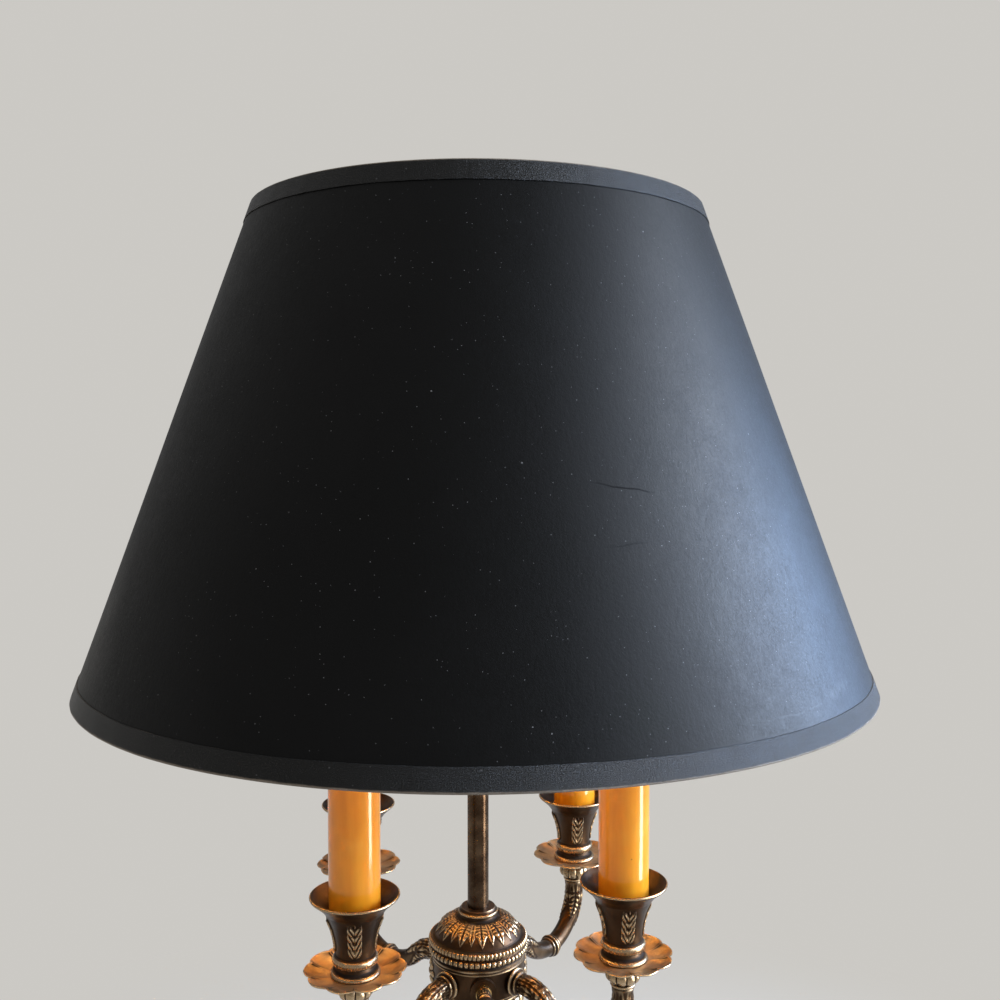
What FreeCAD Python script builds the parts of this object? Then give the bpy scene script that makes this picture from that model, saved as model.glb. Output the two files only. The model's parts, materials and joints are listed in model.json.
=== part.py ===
import FreeCAD, Part
import math
import os
import re
import Sketcher
from FreeCAD import Placement, Rotation, Vector

# A four-light bouillotte lamp, in millimetres.
# +Z is up, -Y is the front, and the origin is the centre of the underside of the base.

# Driving dimensions. Each one is written once, here.
SIZES = {
    # Shade of black paper, 8 by 14 inches across
    "shade_top_radius": 101.6,
    "shade_bottom_radius": 177.8,
    "shade_height": 210,
    "shade_paper": 1,
    "shade_foil": 0.4,
    "trim_tape": 0.8,
    "trim_width": 7.5,
    "trim_turn_in": 4.5,
    "wire_radius": 1.3,
    # Wire spider that carries the shade
    "spider_drop": 14,
    "spider_bend": 7,
    "spider_hub_radius": 14,
    "spider_hub_thickness": 2.6,
    # Slip collar on the rod, its nut and its thumbscrew
    "collar_radius": 11,
    "collar_length": 22,
    "collar_flange_radius": 13.5,
    "collar_flange_thickness": 4,
    "collar_neck_radius": 8,
    "collar_nut_radius": 12,
    "collar_nut_thickness": 3.4,
    "thumbscrew_radius": 2.4,
    "thumbscrew_head": 5.5,
    # Centre rod and its finial
    "rod_radius": 5,
    "rod_length": 345,
    "rod_stud_radius": 3,
    "rod_stud_length": 7,
    "finial_radius": 6.5,
    "finial_height": 14,
    "shade_above_rod": 1,
    # Base, built up from the table
    "felt_thickness": 1.5,
    "felt_radius": 92,
    "base_radius": 95,
    "base_band": 10,
    "base_neck_radius": 90,
    "base_cove": 3,
    "rim_radius": 97,
    "rim_height": 24.5,
    "rim_lip": 2.4,
    "dish_radius": 88,
    "dish_floor": 13,
    "plinth_radius": 34,
    "plinth_height": 18.5,
    "recess_radius": 82,
    "recess_depth": 10,
    "weight_thickness": 8,
    "nut_recess_radius": 15,
    "nut_recess_depth": 5,
    "lead_channel": 8,
    # Column round the threaded pipe
    "pipe_radius": 4.85,
    "pipe_bore": 3.2,
    "nut_radius": 7.5,
    "nut_thickness": 3.2,
    "washer_radius": 12,
    "washer_thickness": 1,
    "column_foot_radius": 23,
    "column_foot_height": 28,
    "shaft_radius": 12,
    "shaft_height": 152,
    "flute_radius": 1.9,
    "flute_end": 5,
    "flute_count": 12,
    "capital_radius": 18,
    "capital_height": 38,
    # Hub that the arms branch from
    "hub_radius": 22,
    "hub_wall": 3,
    "hub_height": 28,
    "hub_cap_height": 16,
    "hub_cap_spigot": 4,
    "hub_bead": 1.2,
    # Arms
    "candle_radius": 80.5,
    "arm_radius": 4.2,
    "arm_bore": 2.6,
    "arm_tail": 3,
    "arm_dip_radius": 16,
    "arm_sweep_radius": 24,
    "arm_turn": 45,
    "arm_rise": 15.7,
    "arm_knob_radius": 7.4,
    "arm_knob_height": 11,
    "arm_thread_depth": 8,
    # Drip pans
    "pan_radius": 21.5,
    "pan_rise": 3.4,
    "pan_wall": 1.2,
    "pan_flat_radius": 11,
    "pan_lobes": 10,
    "pan_notch_radius": 5,
    "pan_notch_depth": 0.9,
    # Candle cups
    "cup_rim_radius": 18.8,
    "cup_height": 33.5,
    "cup_depth": 8,
    "cup_lip": 0.9,
    "cup_wall": 1.1,
    "cup_neck_radius": 8.1,
    "cup_bead_radius": 9.6,
    "cup_foot_radius": 10.5,
    # Candle covers, lampholders and lamps
    "cover_radius": 10.75,
    "cover_wall": 0.9,
    "cover_length": 101.6,
    "lead_radius": 1.3,
    "bracket_thickness": 2.5,
    "bracket_strip": 1,
    "bracket_strip_width": 4,
    "socket_length": 32,
    "socket_floor": 6,
    "socket_shell": 0.5,
    "bulb_cap_radius": 5.95,
    "bulb_cap_show": 1.7,
    "glass_neck_radius": 5.9,
    "glass_belly_radius": 16,
    "glass_belly_height": 26,
    "glass_tip_height": 72,
    "glass_tip_radius": 0.8,
    "glass_wall": 0.8,
    "stem_radius": 2,
    "stem_height": 16,
    "filament_radius": 0.7,
    "filament_height": 30,
    # Rotary switch in the front of the hub
    "switch_radius": 6.3,
    "switch_length": 8.8,
    "switch_reach": 17.5,
    "bushing_radius": 3.6,
    "bushing_show": 4.6,
    "bushing_nut_radius": 6,
    "bushing_nut_thickness": 2.4,
    "shaft_pin_radius": 1.6,
    "key_collar_radius": 3.2,
    "key_collar_length": 5,
    # Flat oval grips of the thumbscrew and the switch key
    "grip_width": 13,
    "grip_length": 9,
    "grip_thickness": 2.4,
    # Cord inlet in the back of the base
    "inlet_bore": 3.3,
    "inlet_flange": 1.6,
    "inlet_flange_radius": 5,
    # Clearances
    "seat_gap": 0.02,
    "fit_gap": 0.05,
    "run_gap": 0.06,
    "play_gap": 0.2,
    "free_gap": 0.35,
}

# Sizes and heights that follow from the driving ones.
FORMULAS = {
    "base_bottom": "felt_thickness",
    "plinth_top": "base_bottom + plinth_height",
    "recess_top": "base_bottom + recess_depth",
    "weight_bottom": "recess_top - weight_thickness",
    "nut_recess_top": "weight_bottom + nut_recess_depth",
    "inlet_height": "base_bottom + base_band / 2",
    "shaft_bottom": "plinth_top + column_foot_height",
    "shaft_top": "shaft_bottom + shaft_height",
    "hub_bottom": "shaft_top + capital_height",
    "hub_floor": "hub_bottom + hub_wall",
    "hub_top": "hub_bottom + hub_height",
    "hub_bore": "hub_radius - hub_wall",
    "cap_bottom": "hub_top - hub_cap_spigot",
    "cap_top": "hub_top + hub_cap_height",
    "pipe_bottom": "nut_recess_top - washer_thickness - nut_thickness",
    "pipe_top": "hub_floor + nut_thickness + 1",
    "arm_height": "hub_bottom + hub_height / 2",
    "arm_end": "arm_height - arm_dip_radius + (arm_dip_radius + arm_sweep_radius) * cos(arm_turn)",
    "arm_top": "arm_end + arm_rise",
    "arm_straight": "candle_radius - arm_sweep_radius"
    " - (arm_dip_radius + arm_sweep_radius) * sin(arm_turn)",
    "pan_top": "arm_top + pan_wall",
    "cup_rim": "pan_top + cup_height",
    "cup_floor": "cup_rim - cup_depth",
    "cup_mouth_radius": "cover_radius + play_gap",
    "nipple_bottom": "arm_top - arm_thread_depth",
    "cover_top": "cup_floor + cover_length",
    "cover_inside": "cover_radius - cover_wall",
    "bracket_top": "cup_floor + bracket_thickness",
    "bracket_radius": "cover_inside - play_gap",
    "socket_radius": "cover_inside - play_gap",
    "socket_bottom": "cover_top - socket_length",
    "socket_bore": "bulb_cap_radius + socket_shell + 2 * fit_gap",
    "socket_seat": "socket_bottom + socket_floor",
    "bulb_cap_top": "cover_top + bulb_cap_show",
    "belly_top": "bulb_cap_top + glass_belly_height",
    "glass_top": "bulb_cap_top + glass_tip_height",
    "rod_bottom": "cap_bottom - nut_thickness",
    "rod_top": "rod_bottom + rod_length",
    "finial_top": "rod_top + finial_height",
    "shade_top": "rod_top + shade_above_rod",
    "shade_bottom": "shade_top - shade_height",
    "slope": "(shade_bottom_radius - shade_top_radius) / shade_height",
    "slant": "sqrt(1 + slope ^ 2)",
    "shade_wall": "shade_paper + shade_foil",
    "wire_seat": "wire_radius * slant + fit_gap",
    "top_wire_height": "shade_top - wire_radius - fit_gap",
    "top_wire_ring": "shade_top_radius - shade_wall + slope * (wire_radius + fit_gap) - wire_seat",
    "bottom_wire_height": "shade_bottom + wire_radius + fit_gap",
    "bottom_wire_ring": "shade_bottom_radius - shade_wall - slope * (wire_radius + fit_gap) - wire_seat",
    "spider_height": "top_wire_height - spider_drop",
    "spider_under": "spider_height - spider_hub_thickness / 2",
    "spider_over": "spider_height + spider_hub_thickness / 2",
    "spider_bore": "collar_neck_radius + run_gap",
    "flange_top": "spider_under - play_gap",
    "flange_bottom": "flange_top - collar_flange_thickness",
    "collar_bottom": "flange_bottom - collar_length",
    "collar_nut_bottom": "spider_over + play_gap",
    "collar_top": "collar_nut_bottom + collar_nut_thickness",
    "screw_height": "flange_bottom - collar_length / 2",
    "screw_reach": "collar_radius + thumbscrew_head",
    "bushing_reach": "hub_radius + bushing_show",
    "key_start": "bushing_reach + play_gap",
}

# The four arms, each named for where it points, with its angle about +Z.
PLACES = {"front_right": -45, "rear_right": 45, "rear_left": 135, "front_left": 225}
SPIDER_SPOKES = 3
HEX_SIDES = 6
UP = Vector(0, 0, 1)
TOWARDS_FRONT = Rotation(Vector(1, 0, 0), 90)
TOWARDS_BACK = Rotation(Vector(1, 0, 0), -90)

DOC = FreeCAD.newDocument("BouillotteLamp")
SHEET = DOC.addObject("Spreadsheet::Sheet", "Sizes")
NODES = []


def fill_sheet():
    """Write one row to the sheet for each driving dimension."""
    for row, (name, size) in enumerate(SIZES.items(), start=1):
        SHEET.set(f"A{row}", name)
        SHEET.set(f"B{row}", str(size))
        SHEET.setAlias(f"B{row}", name)
    DOC.recompute()


def bound(text):
    """The text with each formula's name opened up and each size's name pointed at its cell."""
    def swap(match):
        word = match.group(0)
        if word in FORMULAS:
            return f"({bound(FORMULAS[word])})"
        if word in SIZES:
            return f"Sizes.{word}"
        return word
    return re.sub(r"[a-z][a-z_]*", swap, text)


def number(text):
    """The value that the text has now."""
    return float(SHEET.evalExpression(bound(text)))


def tie(thing, prop, text):
    """Bind a property of an object to the sheet."""
    thing.setExpression(prop, bound(text))


def plane_of(body, role):
    """One of a body's own origin planes."""
    return next(feature for feature in body.Origin.OriginFeatures if feature.Role == role)


def new_body(label):
    """An empty body that becomes one node."""
    body = DOC.addObject("PartDesign::Body", label)
    body.Label = label
    NODES.append(body)
    return body


def new_sketch(body, name, role):
    """A sketch on one of the body's origin planes."""
    sketch = body.newObject("Sketcher::SketchObject", name)
    sketch.AttachmentSupport = [(plane_of(body, role), "")]
    sketch.MapMode = "FlatFace"
    return sketch


def hold(sketch, kind, edge, end, text):
    """Fix one coordinate of an edge's end, from the sketch's origin, by a formula."""
    index = sketch.addConstraint(Sketcher.Constraint(kind, -1, 1, edge, end, number(text)))
    if re.search("[a-z]", text):
        tie(sketch, f"Constraints[{index}]", text)


def hold_radius(sketch, edge, text):
    """Fix an arc's or a circle's radius by a formula."""
    index = sketch.addConstraint(Sketcher.Constraint("Radius", edge, number(text)))
    tie(sketch, f"Constraints[{index}]", text)


def arc_between(start, end, radius, turn):
    """The short arc from start to end. It turns left, anticlockwise, or right."""
    chord = end - start
    side = 1 if turn == "left" else -1
    reach = math.sqrt(max(radius ** 2 - (chord.Length / 2) ** 2, 0))
    across = Vector(-chord.y, chord.x, 0).normalize() * side
    centre = (start + end) / 2 + across * reach
    first, last = (start, end) if turn == "left" else (end, start)
    angles = [math.atan2(point.y - centre.y, point.x - centre.x) for point in (first, last)]
    return Part.ArcOfCircle(Part.Circle(centre, UP, radius), *angles)


def draw_outline(sketch, corners):
    """Add one closed outline. A corner is (across, up) before a straight edge,
    or (across, up, radius, turn) before an arc."""
    first = sketch.GeometryCount
    points = [Vector(number(corner[0]), number(corner[1]), 0) for corner in corners]
    count = len(corners)
    starts = []
    ends = []
    for index, corner in enumerate(corners):
        start = points[index]
        end = points[(index + 1) % count]
        if len(corner) == 2:
            sketch.addGeometry(Part.LineSegment(start, end), False)
            turned_round = False
        else:
            sketch.addGeometry(arc_between(start, end, number(corner[2]), corner[3]), False)
            turned_round = corner[3] == "right"
        starts.append(2 if turned_round else 1)
        ends.append(1 if turned_round else 2)
    for index, corner in enumerate(corners):
        after = (index + 1) % count
        sketch.addConstraint(
            Sketcher.Constraint("Coincident", first + index, ends[index], first + after, starts[after])
        )
        hold(sketch, "DistanceX", first + index, starts[index], corner[0])
        hold(sketch, "DistanceY", first + index, starts[index], corner[1])
        if len(corner) == 4:
            hold_radius(sketch, first + index, corner[2])


def draw_circle(sketch, across, up, radius):
    """Add one circle."""
    centre = Vector(number(across), number(up), 0)
    edge = sketch.addGeometry(Part.Circle(centre, UP, number(radius)), False)
    hold(sketch, "DistanceX", edge, 3, across)
    hold(sketch, "DistanceY", edge, 3, up)
    hold_radius(sketch, edge, radius)


def draw_axis(sketch, across):
    """Add an upright construction line to turn a profile about."""
    start = Vector(number(across), 0, 0)
    edge = sketch.addGeometry(Part.LineSegment(start, start + Vector(0, 1, 0)), True)
    sketch.addConstraint(Sketcher.Constraint("Vertical", edge))
    hold(sketch, "DistanceX", edge, 1, across)
    hold(sketch, "DistanceY", edge, 1, "0")
    sketch.addConstraint(Sketcher.Constraint("Distance", edge, 1))


def turn(body, name, corners, kind="Revolution", about=None):
    """Revolve an outline of (radius, height) corners about the body's Z axis, or about
    an upright line at the distance named by about. Kind Groove cuts it away instead."""
    sketch = new_sketch(body, f"{name}Profile", "XZ_Plane")
    draw_outline(sketch, corners)
    axis = "V_Axis"
    if about:
        draw_axis(sketch, about)
        axis = "Axis0"
    feature = body.newObject(f"PartDesign::{kind}", name)
    feature.Profile = sketch
    feature.ReferenceAxis = (sketch, [axis])
    feature.Angle = 360
    return feature


def turned_body(label, corners):
    """A node that is one turned piece."""
    body = new_body(label)
    turn(body, f"{label}_turned", corners)
    return body


def tube_corners(inner, outer, low, high):
    """The section of a plain tube."""
    return [(inner, low), (outer, low), (outer, high), (inner, high)]


def cut_bore(body, name, across, up, radius, role, reverse):
    """Cut a round hole right through one side of a body, from an origin plane."""
    sketch = new_sketch(body, f"{name}Circle", role)
    draw_circle(sketch, across, up, radius)
    pocket = body.newObject("PartDesign::Pocket", name)
    pocket.Profile = sketch
    pocket.Type = "ThroughAll"
    pocket.Reversed = reverse
    return pocket


def pattern(body, name, feature, copies):
    """Repeat a feature round the body's Z axis."""
    polar = body.newObject("PartDesign::PolarPattern", name)
    polar.Originals = [feature]
    polar.Axis = (feature.Profile[0], ["N_Axis"])
    polar.Angle = 360
    if copies in SIZES:
        tie(polar, "Occurrences", copies)
    else:
        polar.Occurrences = int(copies)
    body.Tip = polar
    return polar


def stand_at(body, angle, distance="candle_radius"):
    """Turn a body by an angle about Z and move it out along that direction."""
    body.Placement = Placement(Vector(), Rotation(UP, angle))
    tie(body, ".Placement.Base.x", f"{distance} * cos({angle})")
    tie(body, ".Placement.Base.y", f"{distance} * sin({angle})")


def gather(label, members):
    """One node that holds a group of like pieces."""
    group = DOC.addObject("Part::Compound", label)
    group.Label = label
    group.Links = members
    for member in members:
        NODES.remove(member)
    NODES.append(group)


def make_base():
    """Felt, dished base, iron weight, washer and the cord's inlet bushing."""
    turned_body("base_felt", [("0", "0"), ("felt_radius", "0"), ("felt_radius", "base_bottom"),
                              ("0", "base_bottom")])

    band_top = "base_bottom + base_band"
    rim_top = "base_bottom + rim_height"
    floor = "base_bottom + dish_floor"
    dish = turned_body("base_dish", [
        ("recess_radius", "base_bottom"),
        ("base_radius", "base_bottom"),
        ("base_radius", band_top),
        ("base_neck_radius", f"{band_top} + base_cove", "base_cove * 4", "right"),
        ("rim_radius - rim_lip / 2", f"{rim_top} - rim_lip"),
        ("rim_radius", f"{rim_top} - rim_lip", "rim_lip / 2 + seat_gap", "left"),
        ("rim_radius", rim_top),
        ("rim_radius - 2 * rim_lip", rim_top),
        ("dish_radius", floor),
        ("plinth_radius", floor),
        ("plinth_radius", "plinth_top - 2"),
        ("plinth_radius - 2", "plinth_top"),
        ("pipe_radius + play_gap", "plinth_top"),
        ("pipe_radius + play_gap", "recess_top"),
        ("recess_radius", "recess_top"),
    ])
    cut_bore(dish, "InletHole", "0", "inlet_height", "inlet_bore + 1", "XZ_Plane", False)

    weight = turned_body("base_weight", [
        ("nut_recess_radius", "weight_bottom"),
        ("recess_radius - play_gap", "weight_bottom"),
        ("recess_radius - play_gap", "recess_top"),
        ("pipe_radius + play_gap", "recess_top"),
        ("pipe_radius + play_gap", "nut_recess_top"),
        ("nut_recess_radius", "nut_recess_top"),
    ])
    channel = new_sketch(weight, "LeadChannelSection", "XZ_Plane")
    draw_outline(channel, [
        ("-lead_channel / 2", "weight_bottom - 1"),
        ("lead_channel / 2", "weight_bottom - 1"),
        ("lead_channel / 2", "nut_recess_top"),
        ("-lead_channel / 2", "nut_recess_top"),
    ])
    slot = weight.newObject("PartDesign::Pocket", "LeadChannel")
    slot.Profile = channel
    slot.Type = "ThroughAll"

    turned_body("base_washer", tube_corners(
        "pipe_radius + fit_gap", "washer_radius", "nut_recess_top - washer_thickness", "nut_recess_top"))

    inlet = turned_body("cord_bushing", [
        ("inlet_bore", "recess_radius"),
        ("inlet_bore + 1 - fit_gap", "recess_radius"),
        ("inlet_bore + 1 - fit_gap", "base_radius"),
        ("inlet_flange_radius", "base_radius"),
        ("inlet_flange_radius", "base_radius + inlet_flange"),
        ("inlet_bore", "base_radius + inlet_flange"),
    ])
    inlet.Placement = Placement(Vector(), TOWARDS_BACK)
    tie(inlet, ".Placement.Base.z", "inlet_height")


def hex_nut(label, thread, low):
    """A six-sided nut on an upright thread, with its underside at the height low."""
    nut = new_body(label)
    section = new_sketch(nut, f"{label}_section", "XY_Plane")
    corners = []
    for side in range(HEX_SIDES):
        angle = 360 / HEX_SIDES * side
        corners.append((f"nut_radius * cos({angle})", f"nut_radius * sin({angle})"))
    draw_outline(section, corners)
    draw_circle(section, "0", "0", f"{thread} + seat_gap")
    pad = nut.newObject("PartDesign::Pad", f"{label}_pad")
    pad.Profile = section
    tie(pad, "Length", "nut_thickness")
    tie(nut, ".Placement.Base.z", low)
    return nut


def make_column():
    """Threaded pipe with its two nuts, column foot, fluted shaft and capital."""
    bore = "pipe_radius + play_gap"
    turned_body("centre_pipe", tube_corners("pipe_bore", "pipe_radius", "pipe_bottom", "pipe_top"))
    turned_body("column_foot", [
        (bore, "plinth_top"),
        ("column_foot_radius", "plinth_top"),
        ("column_foot_radius", "plinth_top + 3"),
        ("column_foot_radius - 2", "plinth_top + 5", "column_foot_height", "right"),
        ("shaft_radius + 1", "shaft_bottom - 6"),
        ("shaft_radius + 3", "shaft_bottom - 5"),
        ("shaft_radius + 3", "shaft_bottom - 2"),
        ("shaft_radius + 1", "shaft_bottom"),
        (bore, "shaft_bottom"),
    ])

    shaft = turned_body("column_shaft", tube_corners(bore, "shaft_radius", "shaft_bottom", "shaft_top"))
    section = new_sketch(shaft, "FluteSection", "XY_Plane")
    draw_circle(section, "shaft_radius + flute_radius / 3", "0", "flute_radius")
    tie(section, ".AttachmentOffset.Base.z", "shaft_bottom + flute_end")
    flute = shaft.newObject("PartDesign::Pocket", "Flute")
    flute.Profile = section
    flute.Reversed = True
    tie(flute, "Length", "shaft_height - 2 * flute_end")
    pattern(shaft, "Flutes", flute, "flute_count")

    waist = "shaft_top + capital_height / 3"
    turned_body("column_capital", [
        (bore, "shaft_top"),
        ("shaft_radius + 1", "shaft_top"),
        ("shaft_radius + 3", "shaft_top + 2"),
        ("shaft_radius + 3", "shaft_top + 5"),
        ("shaft_radius - 2", "shaft_top + 7"),
        ("shaft_radius - 2", waist, "capital_height", "right"),
        ("capital_radius", "hub_bottom - 4"),
        ("capital_radius + 1", "hub_bottom - 3"),
        ("capital_radius + 1", "hub_bottom"),
        (bore, "hub_bottom"),
    ])
    gather("pipe_nuts", [hex_nut("base_nut", "pipe_radius", "pipe_bottom"),
                         hex_nut("hub_nut", "pipe_radius", "hub_floor")])


def make_hub():
    """Hollow hub with its four arm sockets, its cap and the rod's nut."""
    hub = turned_body("hub_body", [
        ("pipe_radius + play_gap", "hub_bottom"),
        ("hub_radius - 2", "hub_bottom"),
        ("hub_radius", "hub_bottom + 2"),
        ("hub_radius", "hub_top - 5"),
        ("hub_radius + hub_bead", "hub_top - 4"),
        ("hub_radius + hub_bead", "hub_top - 1"),
        ("hub_radius", "hub_top"),
        ("hub_bore", "hub_top"),
        ("hub_bore", "hub_floor"),
        ("pipe_radius + play_gap", "hub_floor"),
    ])
    hole = cut_bore(hub, "ArmHole", "0", "arm_height", "arm_radius + fit_gap", "XZ_Plane", False)
    DOC.recompute()
    holes = hub.newObject("PartDesign::PolarPattern", "ArmHoles")
    holes.Originals = [hole]
    holes.Axis = (hub.getObject("hub_body_turnedProfile"), ["V_Axis"])
    holes.Angle = 360
    holes.Occurrences = len(PLACES)
    hub.Tip = holes
    hub.Placement = Placement(Vector(), Rotation(UP, 45))
    switch_hole = new_sketch(hub, "SwitchHoleCircle", "XZ_Plane")
    switch_hole.AttachmentOffset = Placement(Vector(), Rotation(Vector(0, 1, 0), -45))
    draw_circle(switch_hole, "0", "arm_height", "bushing_radius + fit_gap")
    switch_cut = hub.newObject("PartDesign::Pocket", "SwitchHole")
    switch_cut.Profile = switch_hole
    switch_cut.Type = "ThroughAll"
    switch_cut.Reversed = True

    turned_body("hub_cap", [
        ("rod_radius + fit_gap", "cap_bottom"),
        ("hub_bore - fit_gap", "cap_bottom"),
        ("hub_bore - fit_gap", "hub_top"),
        ("hub_radius + hub_bead / 2", "hub_top"),
        ("hub_radius + hub_bead / 2", "hub_top + 2.5"),
        ("hub_radius - 2", "hub_top + 3.5", "hub_radius", "left"),
        ("rod_radius + 5", "cap_top - 5"),
        ("rod_radius + 3.5", "cap_top - 4"),
        ("rod_radius + 3.5", "cap_top"),
        ("rod_radius + fit_gap", "cap_top"),
    ])
    hex_nut("rod_nut", "rod_radius", "rod_bottom")


def spine_corners():
    """The arm's centre line, as (across, up) texts: hub end, dip, sweep and upright end."""
    turn_out = "sin(arm_turn)"
    turn_up = "cos(arm_turn)"
    return {
        "start": ("hub_bore - arm_tail", "arm_height"),
        "dip": ("arm_straight", "arm_height"),
        "sweep": (f"arm_straight + arm_dip_radius * {turn_out}",
                  f"arm_height - arm_dip_radius + arm_dip_radius * {turn_up}"),
        "upright": ("candle_radius", "arm_end"),
    }


def sweep_along_arm(body, name, radius, start, end_height, kind="AdditivePipe"):
    """Sweep a circle along the arm's centre line: level, dipping down, then sweeping
    up until it stands upright under the candle."""
    spine = new_sketch(body, f"{name}Spine", "XZ_Plane")
    places = spine_corners()
    places["start"] = (start, "arm_height")
    points = [Vector(number(across), number(up), 0) for across, up in places.values()]
    top = Vector(number("candle_radius"), number(end_height), 0)
    spine.addGeometry(Part.LineSegment(points[0], points[1]), False)
    spine.addGeometry(arc_between(points[1], points[2], number("arm_dip_radius"), "right"), False)
    spine.addGeometry(arc_between(points[2], points[3], number("arm_sweep_radius"), "left"), False)
    spine.addGeometry(Part.LineSegment(points[3], top), False)
    spine.addConstraint(Sketcher.Constraint("Coincident", 0, 2, 1, 2))
    spine.addConstraint(Sketcher.Constraint("Coincident", 1, 1, 2, 1))
    spine.addConstraint(Sketcher.Constraint("Coincident", 2, 2, 3, 1))
    for edge, end, place in ((0, 1, "start"), (0, 2, "dip"), (2, 1, "sweep"), (2, 2, "upright")):
        hold(spine, "DistanceX", edge, end, places[place][0])
        hold(spine, "DistanceY", edge, end, places[place][1])
    hold_radius(spine, 1, "arm_dip_radius")
    hold_radius(spine, 2, "arm_sweep_radius")
    hold(spine, "DistanceX", 3, 2, "candle_radius")
    hold(spine, "DistanceY", 3, 2, end_height)
    section = new_sketch(body, f"{name}Section", "YZ_Plane")
    tie(section, ".AttachmentOffset.Base.z", start)
    draw_circle(section, "0", "arm_height", radius)
    pipe = body.newObject(f"PartDesign::{kind}", name)
    pipe.Profile = section
    pipe.Spine = spine
    return pipe


def make_arm(place, angle):
    """An S-shaped tube with a turned knob under the drip pan, and the leads' bore through it."""
    arm = new_body(f"arm_{place}")
    knob_low = "arm_top - arm_knob_height"
    knob_mid = "arm_top - arm_knob_height / 2"
    sweep_along_arm(arm, "Tube", "arm_radius", "hub_bore - arm_tail", f"{knob_low} + 1")
    turn(arm, "Knob", [
        ("candle_radius", knob_low),
        ("candle_radius + arm_radius - 1.5", knob_low),
        ("candle_radius + arm_knob_radius - 1", f"{knob_mid} - 2", "arm_knob_height", "left"),
        ("candle_radius + arm_knob_radius", knob_mid, "arm_knob_height", "left"),
        ("candle_radius + arm_radius + 1", "arm_top - 2"),
        ("candle_radius + arm_radius + 2", "arm_top"),
        ("candle_radius", "arm_top"),
    ], about="candle_radius")
    turn(arm, "Thread", [
        ("candle_radius", "nipple_bottom"),
        ("candle_radius + pipe_radius + seat_gap", "nipple_bottom"),
        ("candle_radius + pipe_radius + seat_gap", "arm_top + 1"),
        ("candle_radius", "arm_top + 1"),
    ], kind="Groove", about="candle_radius")
    sweep_along_arm(arm, "Bore", "arm_bore", "hub_bore - arm_tail - 1", "arm_top", "SubtractivePipe")
    arm.Placement = Placement(Vector(), Rotation(UP, angle))
    return arm


def make_lead(place, angle):
    """The insulated lead that runs through an arm to its lampholder."""
    lead = new_body(f"lead_{place}")
    sweep_along_arm(lead, "Lead", "lead_radius", "hub_bore - arm_tail - 1", "socket_bottom")
    lead.Placement = Placement(Vector(), Rotation(UP, angle))
    return lead


def make_pan(place, angle):
    """A shallow drip pan with a softly lobed edge."""
    pan = turned_body(f"drip_pan_{place}", [
        ("pipe_radius + play_gap", "arm_top"),
        ("pan_flat_radius", "arm_top"),
        ("pan_radius", "arm_top + pan_rise - pan_wall"),
        ("pan_radius", "arm_top + pan_rise"),
        ("pan_flat_radius", "pan_top"),
        ("pipe_radius + play_gap", "pan_top"),
    ])
    notch = cut_bore(pan, "Notch", "pan_radius + pan_notch_radius - pan_notch_depth", "0",
                     "pan_notch_radius", "XY_Plane", True)
    DOC.recompute()
    pattern(pan, "Notches", notch, "pan_lobes")
    stand_at(pan, angle)


def make_cup(place, angle):
    """A candle cup shaped like a bell flower, with a flared mouth round the candle cover."""
    cup = turned_body(f"candle_cup_{place}", [
        ("pipe_radius + play_gap", "pan_top"),
        ("cup_foot_radius", "pan_top"),
        ("cup_foot_radius", "pan_top + 1.2"),
        ("cup_neck_radius", "pan_top + 4"),
        ("cup_bead_radius", "pan_top + 5.5"),
        ("cup_bead_radius", "pan_top + 7.5"),
        ("cup_neck_radius", "pan_top + 9", "cup_height * 1.1", "right"),
        ("cup_mouth_radius + cup_wall", "cup_floor + 1", "cup_depth * 1.2", "right"),
        ("cup_rim_radius", "cup_rim - cup_lip"),
        ("cup_rim_radius", "cup_rim"),
        ("cup_rim_radius - 1", "cup_rim", "cup_depth * 1.2", "left"),
        ("cup_mouth_radius", "cup_floor + 1.6"),
        ("cup_mouth_radius", "cup_floor"),
        ("pipe_radius + play_gap", "cup_floor"),
    ])
    stand_at(cup, angle)


def make_candle(place, angle):
    """Candle cover, lampholder and glass lamp. Their small metal parts are made apart."""
    cover = turned_body(f"candle_cover_{place}", tube_corners(
        "cover_inside", "cover_radius", "cup_floor", "cover_top"))
    stand_at(cover, angle)

    socket = turned_body(f"socket_{place}", [
        ("0", "socket_bottom"),
        ("socket_radius", "socket_bottom"),
        ("socket_radius", "cover_top"),
        ("socket_bore", "cover_top"),
        ("socket_bore", "socket_seat"),
        ("0", "socket_seat"),
    ])
    stand_at(socket, angle)

    swell = "(glass_belly_radius - glass_neck_radius)"
    neck_arc = f"({swell} ^ 2 + glass_belly_height ^ 2) / (2 * {swell})"
    rise = "(glass_tip_height - glass_belly_height)"
    taper = "(glass_belly_radius - glass_tip_radius)"
    rise_in = "(glass_tip_height - glass_belly_height - glass_wall)"
    taper_in = "(glass_belly_radius - glass_wall - glass_tip_radius / 2)"
    belly_in = "glass_belly_radius - glass_wall"
    bulb = turned_body(f"bulb_{place}", [
        ("glass_neck_radius - glass_wall", "bulb_cap_top"),
        ("glass_neck_radius", "bulb_cap_top", neck_arc, "left"),
        ("glass_belly_radius", "belly_top", f"({taper} ^ 2 + {rise} ^ 2) / (2 * {taper})", "left"),
        ("glass_tip_radius", "glass_top"),
        ("0", "glass_top"),
        ("0", "glass_top - glass_wall"),
        ("glass_tip_radius / 2", "glass_top - glass_wall",
         f"({taper_in} ^ 2 + {rise_in} ^ 2) / (2 * {taper_in})", "right"),
        (belly_in, "belly_top", neck_arc, "right"),
    ])
    stand_at(bulb, angle)


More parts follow.
